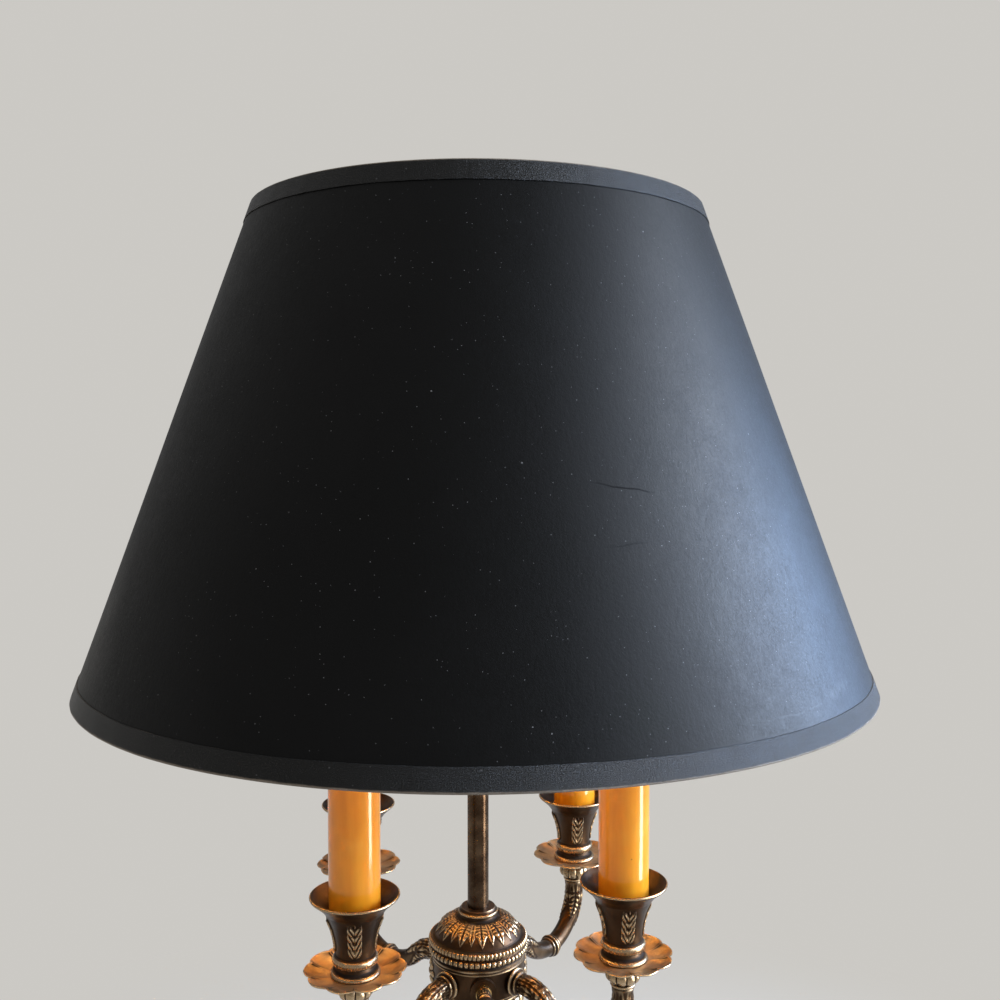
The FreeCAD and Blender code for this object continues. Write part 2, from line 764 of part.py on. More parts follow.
def make_lampholder_metal(place, angle):
    """The four small metal parts of one light, and the lamp's stem, each at its place."""
    nipple = turned_body(f"nipple_{place}", tube_corners(
        "pipe_bore", "pipe_radius", "nipple_bottom", "bracket_top + 1"))

    bracket = turned_body(f"bracket_{place}", tube_corners(
        "pipe_radius + seat_gap", "bracket_radius", "cup_floor", "bracket_top"))
    strip = new_sketch(bracket, "StripSection", "XY_Plane")
    draw_outline(strip, [
        ("bracket_radius - 1.5 * bracket_strip", "-bracket_strip_width / 2"),
        ("bracket_radius - bracket_strip / 2", "-bracket_strip_width / 2"),
        ("bracket_radius - bracket_strip / 2", "bracket_strip_width / 2"),
        ("bracket_radius - 1.5 * bracket_strip", "bracket_strip_width / 2"),
    ])
    tie(strip, ".AttachmentOffset.Base.z", "cup_floor + bracket_thickness / 2")
    leg = bracket.newObject("PartDesign::Pad", "Strip")
    leg.Profile = strip
    tie(leg, "Length", "socket_bottom - cup_floor - bracket_thickness / 2")

    shell = turned_body(f"shell_{place}", tube_corners(
        "bulb_cap_radius + fit_gap", "socket_bore - fit_gap", "socket_seat", "cover_top - 1"))

    cap = turned_body(f"cap_{place}", [
        ("0", "socket_seat"),
        ("bulb_cap_radius / 3", "socket_seat"),
        ("bulb_cap_radius", "socket_seat + 3"),
        ("bulb_cap_radius", "bulb_cap_top"),
        ("0", "bulb_cap_top"),
    ])

    stem = turned_body(f"stem_{place}", [
        ("0", "bulb_cap_top"),
        ("stem_radius", "bulb_cap_top"),
        ("filament_radius", "bulb_cap_top + stem_height"),
        ("filament_radius", "bulb_cap_top + stem_height + filament_height"),
        ("0", "bulb_cap_top + stem_height + filament_height"),
    ])
    parts = (nipple, bracket, shell, cap, stem)
    for part in parts:
        stand_at(part, angle)
    return parts


def make_lights():
    """Everything that repeats at the four places."""
    groups = {"arm_nipples": [], "socket_brackets": [], "socket_shells": [], "bulb_caps": [],
              "bulb_filaments": []}
    leads = []
    for place, angle in PLACES.items():
        make_arm(place, angle)
        make_pan(place, angle)
        make_cup(place, angle)
        make_candle(place, angle)
        for members, part in zip(groups.values(), make_lampholder_metal(place, angle)):
            members.append(part)
        leads.append(make_lead(place, angle))
    for label, members in groups.items():
        gather(label, members)
    gather("lamp_leads", leads)


def add_grip(body, name, low):
    """Add a flat oval finger grip that stands on the body's axis from the height low."""
    sketch = new_sketch(body, f"{name}Oval", "XZ_Plane")
    half = "grip_width / 2"
    middle = f"{low} + grip_length / 2"
    bulge = "(grip_width ^ 2 + grip_length ^ 2) / (4 * grip_length)"
    draw_outline(sketch, [(f"-({half})", middle, bulge, "left"), (half, middle, bulge, "left")])
    pad = body.newObject("PartDesign::Pad", name)
    pad.Profile = sketch
    pad.Midplane = True
    tie(pad, "Length", "grip_thickness")


def make_switch():
    """Rotary switch in the hub, its bushing, nut and shaft, and the key that turns it."""
    parts = []
    shaft_hole = "shaft_pin_radius + run_gap"
    parts.append(turned_body("switch_body", [
        ("0", "switch_reach - switch_length"),
        ("switch_radius", "switch_reach - switch_length"),
        ("switch_radius", "switch_reach"),
        (shaft_hole, "switch_reach"),
        (shaft_hole, "switch_reach - switch_length / 2"),
        ("0", "switch_reach - switch_length / 2"),
    ]))
    parts.append(turned_body("switch_bushing", tube_corners(
        shaft_hole, "bushing_radius", "switch_reach", "bushing_reach")))
    parts.append(turned_body("switch_nut", tube_corners(
        "bushing_radius + seat_gap", "bushing_nut_radius", "hub_radius",
        "hub_radius + bushing_nut_thickness")))
    parts.append(turned_body("switch_shaft", tube_corners(
        "0", "shaft_pin_radius", "switch_reach - switch_length / 2 + play_gap",
        "key_start + key_collar_length / 2")))
    key = turned_body("switch_key", [
        ("shaft_pin_radius + seat_gap", "key_start"),
        ("key_collar_radius", "key_start"),
        ("key_collar_radius", "key_start + key_collar_length"),
        ("0", "key_start + key_collar_length + 1"),
        ("0", "key_start + key_collar_length / 2"),
        ("shaft_pin_radius + seat_gap", "key_start + key_collar_length / 2"),
    ])
    add_grip(key, "Grip", "key_start + key_collar_length - 1")
    parts.append(key)
    for part in parts:
        part.Placement = Placement(Vector(), TOWARDS_FRONT)
        tie(part, ".Placement.Base.z", "arm_height")


def make_rod():
    """The rod that the shade slides on, and the finial that ends it."""
    turned_body("centre_rod", [
        ("0", "rod_bottom"),
        ("rod_radius", "rod_bottom"),
        ("rod_radius", "rod_top"),
        ("rod_stud_radius", "rod_top"),
        ("rod_stud_radius", "rod_top + rod_stud_length"),
        ("0", "rod_top + rod_stud_length"),
    ])
    turned_body("rod_finial", [
        ("rod_stud_radius + seat_gap", "rod_top"),
        ("rod_radius", "rod_top"),
        ("rod_radius + 1", "rod_top + 1.2"),
        ("rod_radius - 0.6", "finial_top - finial_radius - sqrt(finial_radius ^ 2 - (rod_radius - 0.6) ^ 2)",
         "finial_radius", "left"),
        ("0", "finial_top"),
        ("0", "rod_top + rod_stud_length + play_gap"),
        ("rod_stud_radius + seat_gap", "rod_top + rod_stud_length + play_gap"),
    ])


def make_collar():
    """The slip collar that carries the shade on the rod, its ring nut and its thumbscrew."""
    bore = "rod_radius + run_gap"
    collar = turned_body("slip_collar", [
        (bore, "collar_bottom"),
        ("collar_radius - 1", "collar_bottom"),
        ("collar_radius", "collar_bottom + 1"),
        ("collar_radius", "flange_bottom"),
        ("collar_flange_radius", "flange_bottom + 1.5"),
        ("collar_flange_radius", "flange_top"),
        ("collar_neck_radius", "flange_top"),
        ("collar_neck_radius", "collar_top"),
        (bore, "collar_top"),
    ])
    cut_bore(collar, "ScrewHole", "0", "screw_height", "thumbscrew_radius + run_gap", "XZ_Plane", True)
    turned_body("collar_nut", tube_corners(
        "collar_neck_radius + seat_gap", "collar_nut_radius", "collar_nut_bottom", "collar_top"))
    screw = turned_body("thumbscrew", [
        ("0", "rod_radius + free_gap"),
        ("thumbscrew_radius", "rod_radius + free_gap"),
        ("thumbscrew_radius", "collar_radius + 2"),
        ("thumbscrew_radius + 2", "collar_radius + 3"),
        ("thumbscrew_radius + 2", "screw_reach"),
        ("0", "screw_reach + 1"),
    ])
    add_grip(screw, "Grip", "screw_reach - 1")
    screw.Placement = Placement(Vector(), TOWARDS_FRONT)
    tie(screw, ".Placement.Base.z", "screw_height")


def make_shade():
    """Paper cone with its foil lining, bound edges, bottom wire and top wire with spider."""
    paper = "shade_paper"
    wall = "shade_wall"
    turned_body("shade_shell", [
        (f"shade_bottom_radius - {paper}", "shade_bottom"),
        ("shade_bottom_radius", "shade_bottom"),
        ("shade_top_radius", "shade_top"),
        (f"shade_top_radius - {paper}", "shade_top"),
    ])
    turned_body("shade_lining", [
        (f"shade_bottom_radius - {wall}", "shade_bottom"),
        (f"shade_bottom_radius - {paper}", "shade_bottom"),
        (f"shade_top_radius - {paper}", "shade_top"),
        (f"shade_top_radius - {wall}", "shade_top"),
    ])
    make_trim("bottom_trim", "shade_bottom_radius", "shade_bottom", "bottom_wire_ring", "+")
    make_trim("top_trim", "shade_top_radius", "shade_top", "top_wire_ring", "-")

    turn_wire(new_body("bottom_wire"), "Wire", "bottom_wire_ring", "bottom_wire_height")
    turn_wire(new_body("top_wire"), "Wire", "top_wire_ring", "top_wire_height")
    make_spider()


def turn_wire(body, name, ring, height, kind="Revolution"):
    """A wire ring round the Z axis, or with kind Groove a cut of the same form."""
    section = new_sketch(body, f"{name}Section", "XZ_Plane")
    draw_circle(section, ring, height, "wire_radius")
    feature = body.newObject(f"PartDesign::{kind}", name)
    feature.Profile = section
    feature.ReferenceAxis = (section, ["V_Axis"])
    feature.Angle = 360


def make_trim(label, edge_radius, edge_height, wire_ring, inward):
    """Tape folded over one edge of the shade and round its wire. The sign inward
    leads from that edge into the shade's height."""
    outward = "-" if inward == "+" else "+"
    inside = f"{wire_ring} - wire_radius - fit_gap"
    fold = f"({edge_height} {outward} trim_tape)"
    wide = f"({edge_height} {inward} trim_width)"
    turned_in = f"({edge_height} {inward} trim_turn_in)"
    turned_body(label, [
        (f"{edge_radius} + trim_tape", fold),
        (f"{edge_radius} + trim_tape {outward} slope * trim_width", wide),
        (f"{edge_radius} {outward} slope * trim_width", wide),
        (edge_radius, edge_height),
        (inside, edge_height),
        (inside, turned_in),
        (f"{inside} - trim_tape", turned_in),
        (f"{inside} - trim_tape", fold),
    ])


def make_spider():
    """Three dropped spokes on the ring that sits on the collar. Their upright ends are
    hollowed to fit the underside of the top wire, where they are welded."""
    spider = new_body("shade_spider")
    turn(spider, "Hub", [
        ("0", "spider_under"),
        ("spider_hub_radius", "spider_under"),
        ("spider_hub_radius", "spider_over"),
        ("0", "spider_over"),
    ])
    spine = new_sketch(spider, "SpokeSpine", "XZ_Plane")
    level_end = "top_wire_ring - spider_bend"
    bend_top = "spider_height + spider_bend"
    points = [Vector(number(across), number(up), 0) for across, up in (
        ("0", "spider_height"), (level_end, "spider_height"),
        ("top_wire_ring", bend_top), ("top_wire_ring", "top_wire_height"))]
    spine.addGeometry(Part.LineSegment(points[0], points[1]), False)
    spine.addGeometry(arc_between(points[1], points[2], number("spider_bend"), "left"), False)
    spine.addGeometry(Part.LineSegment(points[2], points[3]), False)
    spine.addConstraint(Sketcher.Constraint("Coincident", 0, 2, 1, 1))
    spine.addConstraint(Sketcher.Constraint("Coincident", 1, 2, 2, 1))
    hold(spine, "DistanceX", 0, 1, "0")
    hold(spine, "DistanceY", 0, 1, "spider_height")
    hold(spine, "DistanceX", 0, 2, level_end)
    hold(spine, "DistanceY", 0, 2, "spider_height")
    hold(spine, "DistanceX", 1, 2, "top_wire_ring")
    hold(spine, "DistanceY", 1, 2, bend_top)
    hold_radius(spine, 1, "spider_bend")
    hold(spine, "DistanceX", 2, 2, "top_wire_ring")
    hold(spine, "DistanceY", 2, 2, "top_wire_height")
    section = new_sketch(spider, "SpokeSection", "YZ_Plane")
    draw_circle(section, "0", "spider_height", "wire_radius")
    spoke = spider.newObject("PartDesign::AdditivePipe", "Spoke")
    spoke.Profile = section
    spoke.Spine = spine
    DOC.recompute()
    spokes = spider.newObject("PartDesign::PolarPattern", "Spokes")
    spokes.Originals = [spoke]
    spokes.Axis = (spine, ["V_Axis"])
    spokes.Angle = 360
    spokes.Occurrences = SPIDER_SPOKES
    spider.Tip = spokes
    turn_wire(spider, "WireSeat", "top_wire_ring", "top_wire_height", "Groove")
    cut_bore(spider, "CollarBore", "0", "0", "spider_bore", "XY_Plane", True)
    spider.Placement = Placement(Vector(), Rotation(UP, 90))


def check_all():
    """Stop if any object failed or any node's shape is empty or not valid."""
    for thing in DOC.Objects:
        if any(state in ("Invalid", "Error") for state in thing.State):
            raise RuntimeError(f"{thing.Label} failed: {thing.State}")
    for node in NODES:
        if node.Shape.isNull() or not node.Shape.isValid() or not node.Shape.Solids:
            raise RuntimeError(f"{node.Label} has no valid solid")


def write_steps():
    """Write each node to its own file."""
    os.makedirs("parts", exist_ok=True)
    for node in NODES:
        node.Shape.exportStep(os.path.join("parts", f"{node.Label}.step"))


fill_sheet()
make_base()
make_column()
make_hub()
make_lights()
make_switch()
make_rod()
make_collar()
make_shade()
DOC.recompute()
check_all()
write_steps()
print(len(NODES), "nodes")
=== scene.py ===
# %% [markdown]
# # A bouillotte lamp with four candle lights under a black paper shade
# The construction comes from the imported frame: every node, its place and its body. This lesson dresses it.
# Thin, turned and cast pieces are rebuilt as surfaces worked out with numpy, and every surface gets a
# procedural finish. Lengths are in metres, and small ones are written as a number times MM.

# %% Load the frame
import json
import math

import bmesh
import bpy
import numpy as np
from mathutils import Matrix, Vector


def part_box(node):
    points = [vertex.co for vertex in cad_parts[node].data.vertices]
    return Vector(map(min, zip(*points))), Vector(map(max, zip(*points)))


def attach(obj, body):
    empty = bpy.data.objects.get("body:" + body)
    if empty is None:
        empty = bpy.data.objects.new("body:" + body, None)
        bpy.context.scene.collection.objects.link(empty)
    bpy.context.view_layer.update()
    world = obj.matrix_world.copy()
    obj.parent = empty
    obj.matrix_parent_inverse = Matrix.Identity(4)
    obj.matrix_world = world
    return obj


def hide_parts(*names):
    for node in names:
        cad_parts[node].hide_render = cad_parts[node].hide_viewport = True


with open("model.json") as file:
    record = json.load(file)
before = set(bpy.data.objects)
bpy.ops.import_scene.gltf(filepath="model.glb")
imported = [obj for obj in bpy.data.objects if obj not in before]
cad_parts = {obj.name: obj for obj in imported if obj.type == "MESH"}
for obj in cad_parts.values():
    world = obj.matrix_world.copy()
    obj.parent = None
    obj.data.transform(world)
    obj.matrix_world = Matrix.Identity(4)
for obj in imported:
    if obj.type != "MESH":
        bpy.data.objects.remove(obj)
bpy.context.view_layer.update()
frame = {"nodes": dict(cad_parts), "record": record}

MM = 0.001
TAU = 2 * math.pi
PLACES = ("front_right", "rear_right", "rear_left", "front_left")

# %% [markdown]
# The camera stands a little left of the lamp, half a metre away and level with the middle of the shade.
# Its place, lens and slight downward look were found by fitting the rims of the shade, the rod and the
# candle sleeves to where the photograph shows them, so nothing about it is a matter of taste.

# %% Camera
CAMERA_PLACE = (-0.0484, -0.5004, 0.5020)
CAMERA_HEADING = 6.71
CAMERA_DOWN = 3.09
CAMERA_LENS = 38.93


def make_camera():
    """A camera turned by its heading from +Y towards +X, and then tipped down."""
    data = bpy.data.cameras.new("camera")
    data.lens = CAMERA_LENS
    data.sensor_width = 36
    data.clip_start = 0.02
    camera = bpy.data.objects.new("camera", data)
    camera.location = CAMERA_PLACE
    camera.rotation_euler = (math.radians(90 - CAMERA_DOWN), 0, -math.radians(CAMERA_HEADING))
    bpy.context.scene.collection.objects.link(camera)
    bpy.context.scene.camera = camera
    return camera


camera = make_camera()
print("camera", tuple(round(value, 4) for value in camera.location))

# %% [markdown]
# A node tree is easier to read as a list of calls than as a picture. `add` makes one node, sets its
# properties and joins or sets its inputs in one go. A named group is built once, from a list of inputs and
# outputs, and placed in each material with its own numbers.

# %% Node helpers


def add(tree, kind, inputs=None, **settings):
    """Make a node. A socket given as an input is linked, and anything else is set as its value."""
    node = tree.nodes.new(kind)
    for name, value in settings.items():
        setattr(node, name, value)
    for key, value in (inputs or {}).items():
        if isinstance(value, bpy.types.NodeSocket):
            tree.links.new(value, node.inputs[key])
        else:
            node.inputs[key].default_value = value
    return node


def calc(tree, operation, first, second=0.0, third=0.0, clamp=False):
    """One step of arithmetic."""
    node = add(tree, "ShaderNodeMath", {0: first, 1: second, 2: third}, operation=operation, use_clamp=clamp)
    return node.outputs[0]


def ramp(tree, value, low, high, out_low=0.0, out_high=1.0):
    """Carry a value smoothly from out_low at low to out_high at high."""
    node = add(tree, "ShaderNodeMapRange", {"Value": value, "From Min": low, "From Max": high,
                                            "To Min": out_low, "To Max": out_high},
               interpolation_type="SMOOTHSTEP")
    return node.outputs[0]


def blend(tree, factor, first, second, how="MIX"):
    """Mix two colours."""
    node = tree.nodes.new("ShaderNodeMix")
    node.data_type = "RGBA"
    node.blend_type = how
    sockets = {0: factor, 6: first, 7: second}
    for key, value in sockets.items():
        if isinstance(value, bpy.types.NodeSocket):
            tree.links.new(value, node.inputs[key])
        else:
            node.inputs[key].default_value = value
    return node.outputs[2]


def noise(tree, vector, scale, detail=3.0, roughness=0.55, distortion=0.0):
    """Cloudy noise between 0 and 1."""
    node = add(tree, "ShaderNodeTexNoise", {"Vector": vector, "Scale": scale, "Detail": detail,
                                            "Roughness": roughness, "Distortion": distortion})
    return node.outputs[0]


def new_group(name, inputs, outputs):
    """An empty node group. Inputs are (name, kind, default), and outputs are (name, kind)."""
    tree = bpy.data.node_groups.new(name, "ShaderNodeTree")
    for label, kind, default in inputs:
        socket = tree.interface.new_socket(label, in_out="INPUT", socket_type=f"NodeSocket{kind}")
        if default is not None:
            socket.default_value = default
    for label, kind in outputs:
        tree.interface.new_socket(label, in_out="OUTPUT", socket_type=f"NodeSocket{kind}")
    return tree, tree.nodes.new("NodeGroupInput").outputs, tree.nodes.new("NodeGroupOutput").inputs


def place(tree, group, inputs):
    """Place a node group in a material and return its outputs."""
    node = tree.nodes.new("ShaderNodeGroup")
    node.node_tree = group
    for key, value in inputs.items():
        if isinstance(value, bpy.types.NodeSocket):
            tree.links.new(value, node.inputs[key])
        else:
            node.inputs[key].default_value = value
    return node.outputs


print("node helpers ready")

# %% [markdown]
# Specks are dust, lint and flecks: small dots strewn at random. A Voronoi pattern gives one random point in
# each cell. A dot is drawn where a place is nearer to that point than the dot's radius, and only in the
# cells whose random number is below the share that is wanted.

# %% Group: specks


def build_specks():
    """Dots of a given radius, in a share of the cells of a grid with a given number of cells per metre."""
    tree, given, out = new_group("Specks", [("Vector", "Vector", None), ("Cells", "Float", 400.0),
                                            ("Radius", "Float", 0.1), ("Share", "Float", 0.2)],
                                 [("Mask", "Float")])
    cells = add(tree, "ShaderNodeTexVoronoi", {"Vector": given["Vector"], "Scale": given["Cells"]})
    parts = add(tree, "ShaderNodeSeparateColor", {0: cells.outputs["Color"]})
    size = calc(tree, "MULTIPLY", given["Radius"], calc(tree, "ADD", parts.outputs[1], 0.5))
    inside = calc(tree, "LESS_THAN", cells.outputs["Distance"], size)
    chosen = calc(tree, "LESS_THAN", parts.outputs[0], given["Share"])
    tree.links.new(calc(tree, "MULTIPLY", inside, chosen), out["Mask"])
    return tree


specks = build_specks()
print("made group", specks.name)

# %% [markdown]
# Grain is the fine unevenness that every real surface has. Two sizes of noise are added, and each finish
# chooses how coarse and how strong it is. Its height feeds a Bump node, and the same number shifts the
# roughness a little, so that highlights break up as they do on a used thing.

# %% Group: grain


def build_grain():
    """Height = coarse noise + half of fine noise, and a roughness that wanders about its middle value."""
    tree, given, out = new_group("Grain", [("Vector", "Vector", None), ("Size", "Float", 200.0),
                                           ("Roughness", "Float", 0.5), ("Wander", "Float", 0.1)],
                                 [("Height", "Float"), ("Roughness", "Float")])
    coarse = noise(tree, given["Vector"], given["Size"], 4.0)
    fine = noise(tree, given["Vector"], calc(tree, "MULTIPLY", given["Size"], 5.0), 2.0)
    height = calc(tree, "MULTIPLY_ADD", fine, 0.5, coarse)
    tree.links.new(height, out["Height"])
    shift = calc(tree, "MULTIPLY", calc(tree, "SUBTRACT", coarse, 0.5), given["Wander"])
    tree.links.new(calc(tree, "ADD", given["Roughness"], shift, clamp=True), out["Roughness"])
    return tree


grain = build_grain()
print("made group", grain.name)

# %% [markdown]
# A mark on the shade, such as a crease or a scuff, lies at one place on the cone. The group turns the Object
# coordinates into the angle round the lamp and the height, as on an unrolled sheet, measures how far a place
# is from the mark's slightly bent middle line, and fades the mark towards its ends.

# %% Group: mark on the shade


def build_mark():
    """Along = arc length from the mark's middle, across = height minus the line's height there. The mask is
    1 on the line, falls to 0 at the half width, and fades out at the half length."""
    tree, given, out = new_group("Shade mark", [
        ("Angle", "Float", 0.0), ("Height", "Float", 0.5), ("Half length", "Float", 0.02),
        ("Half width", "Float", 0.0005), ("Slope", "Float", 0.0), ("Bend", "Float", 0.0)], [("Mask", "Float")])
    place_on = add(tree, "ShaderNodeTexCoord").outputs["Object"]
    wobble = noise(tree, place_on, 90.0, 2.0)
    axes = add(tree, "ShaderNodeSeparateXYZ", {0: place_on}).outputs
    minus_y = calc(tree, "MULTIPLY", axes[1], -1.0)
    angle = calc(tree, "ARCTAN2", axes[0], minus_y)
    squares = calc(tree, "MULTIPLY_ADD", axes[0], axes[0], calc(tree, "MULTIPLY", axes[1], axes[1]))
    radius = calc(tree, "SQRT", squares)
    along = calc(tree, "MULTIPLY", calc(tree, "SUBTRACT", angle, given["Angle"]), radius)
    line = calc(tree, "MULTIPLY_ADD", along, given["Slope"], given["Height"])
    bowed = calc(tree, "MULTIPLY_ADD", calc(tree, "MULTIPLY", along, along), given["Bend"], line)
    across = calc(tree, "SUBTRACT", axes[2], bowed)
    jitter = calc(tree, "MULTIPLY", calc(tree, "SUBTRACT", wobble, 0.5), 0.0022)
    distance = calc(tree, "ABSOLUTE", calc(tree, "ADD", across, jitter))
    near = calc(tree, "SUBTRACT", 1.0, calc(tree, "DIVIDE", distance, given["Half width"]), clamp=True)
    end = calc(tree, "DIVIDE", calc(tree, "ABSOLUTE", along), given["Half length"])
    fade = calc(tree, "SUBTRACT", 1.0, calc(tree, "POWER", end, 2.0), clamp=True)
    tree.links.new(calc(tree, "MULTIPLY", near, fade), out["Mask"])
    return tree


mark = build_mark()
print("made group", mark.name)

# %% [markdown]
# Bronze ages by touch. Hands and dusters keep the raised edges bright, and dirt stays in the hollows. Each
# piece made below carries an attribute named wear, worked out from its own shape: above 0 where the surface
# is convex and below 0 where it is hollow. The patina group reads that number and a little noise.

# %% Group: patina


def build_patina():
    """Colour = body colour, mottled by noise, towards rubbed metal on edges and towards dirt in hollows."""
    tree, given, out = new_group("Patina", [
        ("Vector", "Vector", None), ("Wear", "Float", 0.0), ("Body", "Color", (0.06, 0.03, 0.014, 1)),
        ("Warm", "Color", (0.16, 0.085, 0.04, 1)), ("Rubbed", "Color", (0.5, 0.33, 0.17, 1)),
        ("Dirt", "Color", (0.02, 0.014, 0.01, 1)), ("Roughness", "Float", 0.38)],
        [("Color", "Color"), ("Roughness", "Float"), ("Height", "Float")])
    cloud = noise(tree, given["Vector"], 70.0, 5.0, 0.6, 0.3)
    fine = noise(tree, given["Vector"], 900.0, 3.0)
    mottled = blend(tree, ramp(tree, cloud, 0.35, 0.7), given["Body"], given["Warm"])
    worn = calc(tree, "ADD", given["Wear"], calc(tree, "MULTIPLY", calc(tree, "SUBTRACT", cloud, 0.5), 0.5))
    bright = ramp(tree, worn, 0.22, 0.85)
    hollow = ramp(tree, calc(tree, "MULTIPLY", given["Wear"], -1.0), 0.05, 0.5)
    dirty = blend(tree, hollow, mottled, given["Dirt"])
    tree.links.new(blend(tree, bright, dirty, given["Rubbed"]), out["Color"])
    rough = calc(tree, "MULTIPLY_ADD", hollow, 0.3, given["Roughness"])
    smoother = calc(tree, "MULTIPLY_ADD", bright, -0.1, rough)
    tree.links.new(calc(tree, "MULTIPLY_ADD", calc(tree, "SUBTRACT", fine, 0.5), 0.16, smoother), out["Roughness"])
    tree.links.new(calc(tree, "MULTIPLY_ADD", cloud, 0.6, fine), out["Height"])
    return tree


patina = build_patina()
print("made group", patina.name)

# %% [markdown]
# The trims are bias tape. Its threads cross at an angle, so the weave is drawn from two sets of slanted
# lines in the tape's own UV map, which is laid out in metres along and across it. Where both threads rise
# there is a bump, and a coarser noise makes some threads paler and fuzzier than others.

# %% Group: weave


def build_weave():
    """Two sine waves across each other, at 45 degrees to the tape, with a given number of threads per metre."""
    tree, given, out = new_group("Weave", [("Vector", "Vector", None), ("Threads", "Float", 2600.0)],
                                 [("Height", "Float"), ("Fibre", "Float")])
    axes = add(tree, "ShaderNodeSeparateXYZ", {0: given["Vector"]}).outputs
    rough_place = noise(tree, given["Vector"], 1500.0, 2.0)
    count = calc(tree, "MULTIPLY", given["Threads"], math.pi)
    waves = []
    for sign in (1.0, -1.0):
        diagonal = calc(tree, "MULTIPLY_ADD", axes[1], sign, axes[0])
        phase = calc(tree, "MULTIPLY_ADD", rough_place, 3.0, calc(tree, "MULTIPLY", diagonal, count))
        waves.append(calc(tree, "ABSOLUTE", calc(tree, "SINE", phase)))
    height = calc(tree, "MAXIMUM", waves[0], waves[1])
    fibre = noise(tree, given["Vector"], 3500.0, 3.0, 0.7)
    tree.links.new(calc(tree, "MULTIPLY_ADD", fibre, 0.6, height), out["Height"])
    tree.links.new(fibre, out["Fibre"])
    return tree


weave = build_weave()
print("made group", weave.name)

# %% [markdown]
# One function starts every material: a Principled shader whose plain numbers are set on its own sockets,
# since those numbers are the same all over the surface. What varies is linked afterwards.

# %% Material helper


def new_material(name, **plain):
    """A material with one Principled shader. Plain numbers and colours go straight to its sockets."""
    material = bpy.data.materials.new(name)
    material.use_nodes = True
    tree = material.node_tree
    shader = tree.nodes["Principled BSDF"]
    for label, value in plain.items():
        shader.inputs[label.replace("_", " ")].default_value = value
    return material, tree, shader


def finish_with(tree, shader, color=None, roughness=None, height=None, depth=0.0, strength=1.0):
    """Link a colour, a roughness and a bump of a given depth, in metres, to the shader."""
    if color is not None:
        tree.links.new(color, shader.inputs["Base Color"])
    if roughness is not None:
        tree.links.new(roughness, shader.inputs["Roughness"])
    if height is not None:
        bump = add(tree, "ShaderNodeBump", {"Height": height, "Distance": depth, "Strength": strength})
        tree.links.new(bump.outputs[0], shader.inputs["Normal"])


def object_place(tree):
    """Object coordinates, which are the lamp's own frame because every piece sits at the origin."""
    return add(tree, "ShaderNodeTexCoord").outputs["Object"]


print("material helpers ready")

# %% [markdown]
# The shade is black paper with a satin coat. Straight on it is almost black, and towards the side it
# mirrors a window as a soft blue-grey sheen, so its reflection at right angles is kept low. Tiny pale dust
# specks lie all over it. Two short dark creases and one pale scuff sit where the photograph has them, given
# as an angle round the lamp from its front and a height above the table.

# %% Material: black paper
CREASES = (
    {"Angle": math.radians(14.2), "Height": 0.4866, "Half length": 0.0135, "Slope": -0.145, "Bend": -2.0},
    {"Angle": math.radians(13.6), "Height": 0.4674, "Half length": 0.0100, "Slope": 0.080, "Bend": -3.0},
)
SCUFF = {"Angle": math.radians(36.5), "Height": 0.4075, "Half length": 0.0400, "Slope": 0.03, "Bend": 1.5}
SMEAR = {"Angle": math.radians(45.0), "Height": 0.4100, "Half length": 0.0140}


def make_paper():
    material, tree, shader = new_material("black_paper", Specular_IOR_Level=0.17)
    where = object_place(tree)
    cloud = noise(tree, where, 14.0, 4.0, 0.6, 0.4)
    color = blend(tree, ramp(tree, cloud, 0.3, 0.75), (0.0004, 0.0004, 0.0004, 1), (0.0014, 0.0014, 0.0015, 1))
    scratch = place(tree, mark, {**SCUFF, "Half width": 0.0006})["Mask"]
    smear = place(tree, mark, {**SCUFF, **SMEAR, "Half width": 0.0030})["Mask"]
    broken = ramp(tree, noise(tree, where, 210.0, 5.0, 0.7), 0.36, 0.66)
    rubbed = calc(tree, "MULTIPLY", calc(tree, "MAXIMUM", calc(tree, "MULTIPLY", scratch, 0.5), smear), broken)
    color = blend(tree, calc(tree, "MULTIPLY", rubbed, 0.07), color, (0.50, 0.54, 0.62, 1))
    folds = [place(tree, mark, {**crease, "Half width": 0.0005})["Mask"] for crease in CREASES]
    fold = calc(tree, "MAXIMUM", folds[0], calc(tree, "MULTIPLY", folds[1], 0.5))
    fine_dust = place(tree, specks, {"Vector": where, "Cells": 620.0, "Radius": 0.080, "Share": 0.36})["Mask"]
    big_dust = place(tree, specks, {"Vector": where, "Cells": 170.0, "Radius": 0.040, "Share": 0.22})["Mask"]
    dust = calc(tree, "MAXIMUM", calc(tree, "MULTIPLY", fine_dust, 0.16), calc(tree, "MULTIPLY", big_dust, 0.17))
    color = blend(tree, dust, color, (0.60, 0.61, 0.63, 1))
    fibres = add(tree, "ShaderNodeMapping", {"Vector": where, "Scale": (1.0, 1.0, 0.35)}).outputs[0]
    skin = place(tree, grain, {"Vector": fibres, "Size": 620.0, "Roughness": 0.49, "Wander": 0.14})
    blotch = calc(tree, "MULTIPLY", calc(tree, "SUBTRACT", noise(tree, where, 38.0, 5.0, 0.65), 0.5), 0.16)
    tooth = noise(tree, where, 1300.0, 3.0, 0.7)
    blotch = calc(tree, "MULTIPLY_ADD", calc(tree, "SUBTRACT", tooth, 0.5), 0.30, blotch)
    rough = calc(tree, "ADD", skin["Roughness"], calc(tree, "MULTIPLY_ADD", dust, 0.5, blotch), clamp=True)
    rough = calc(tree, "MULTIPLY_ADD", fold, 0.4, rough, clamp=True)
    height = calc(tree, "MULTIPLY_ADD", fold, -1.5, calc(tree, "MULTIPLY_ADD", tooth, 1.2, skin["Height"]))
    finish_with(tree, shader, color, rough, height, 0.040 * MM)
    return material


black_paper = make_paper()
print("made", black_paper.name)

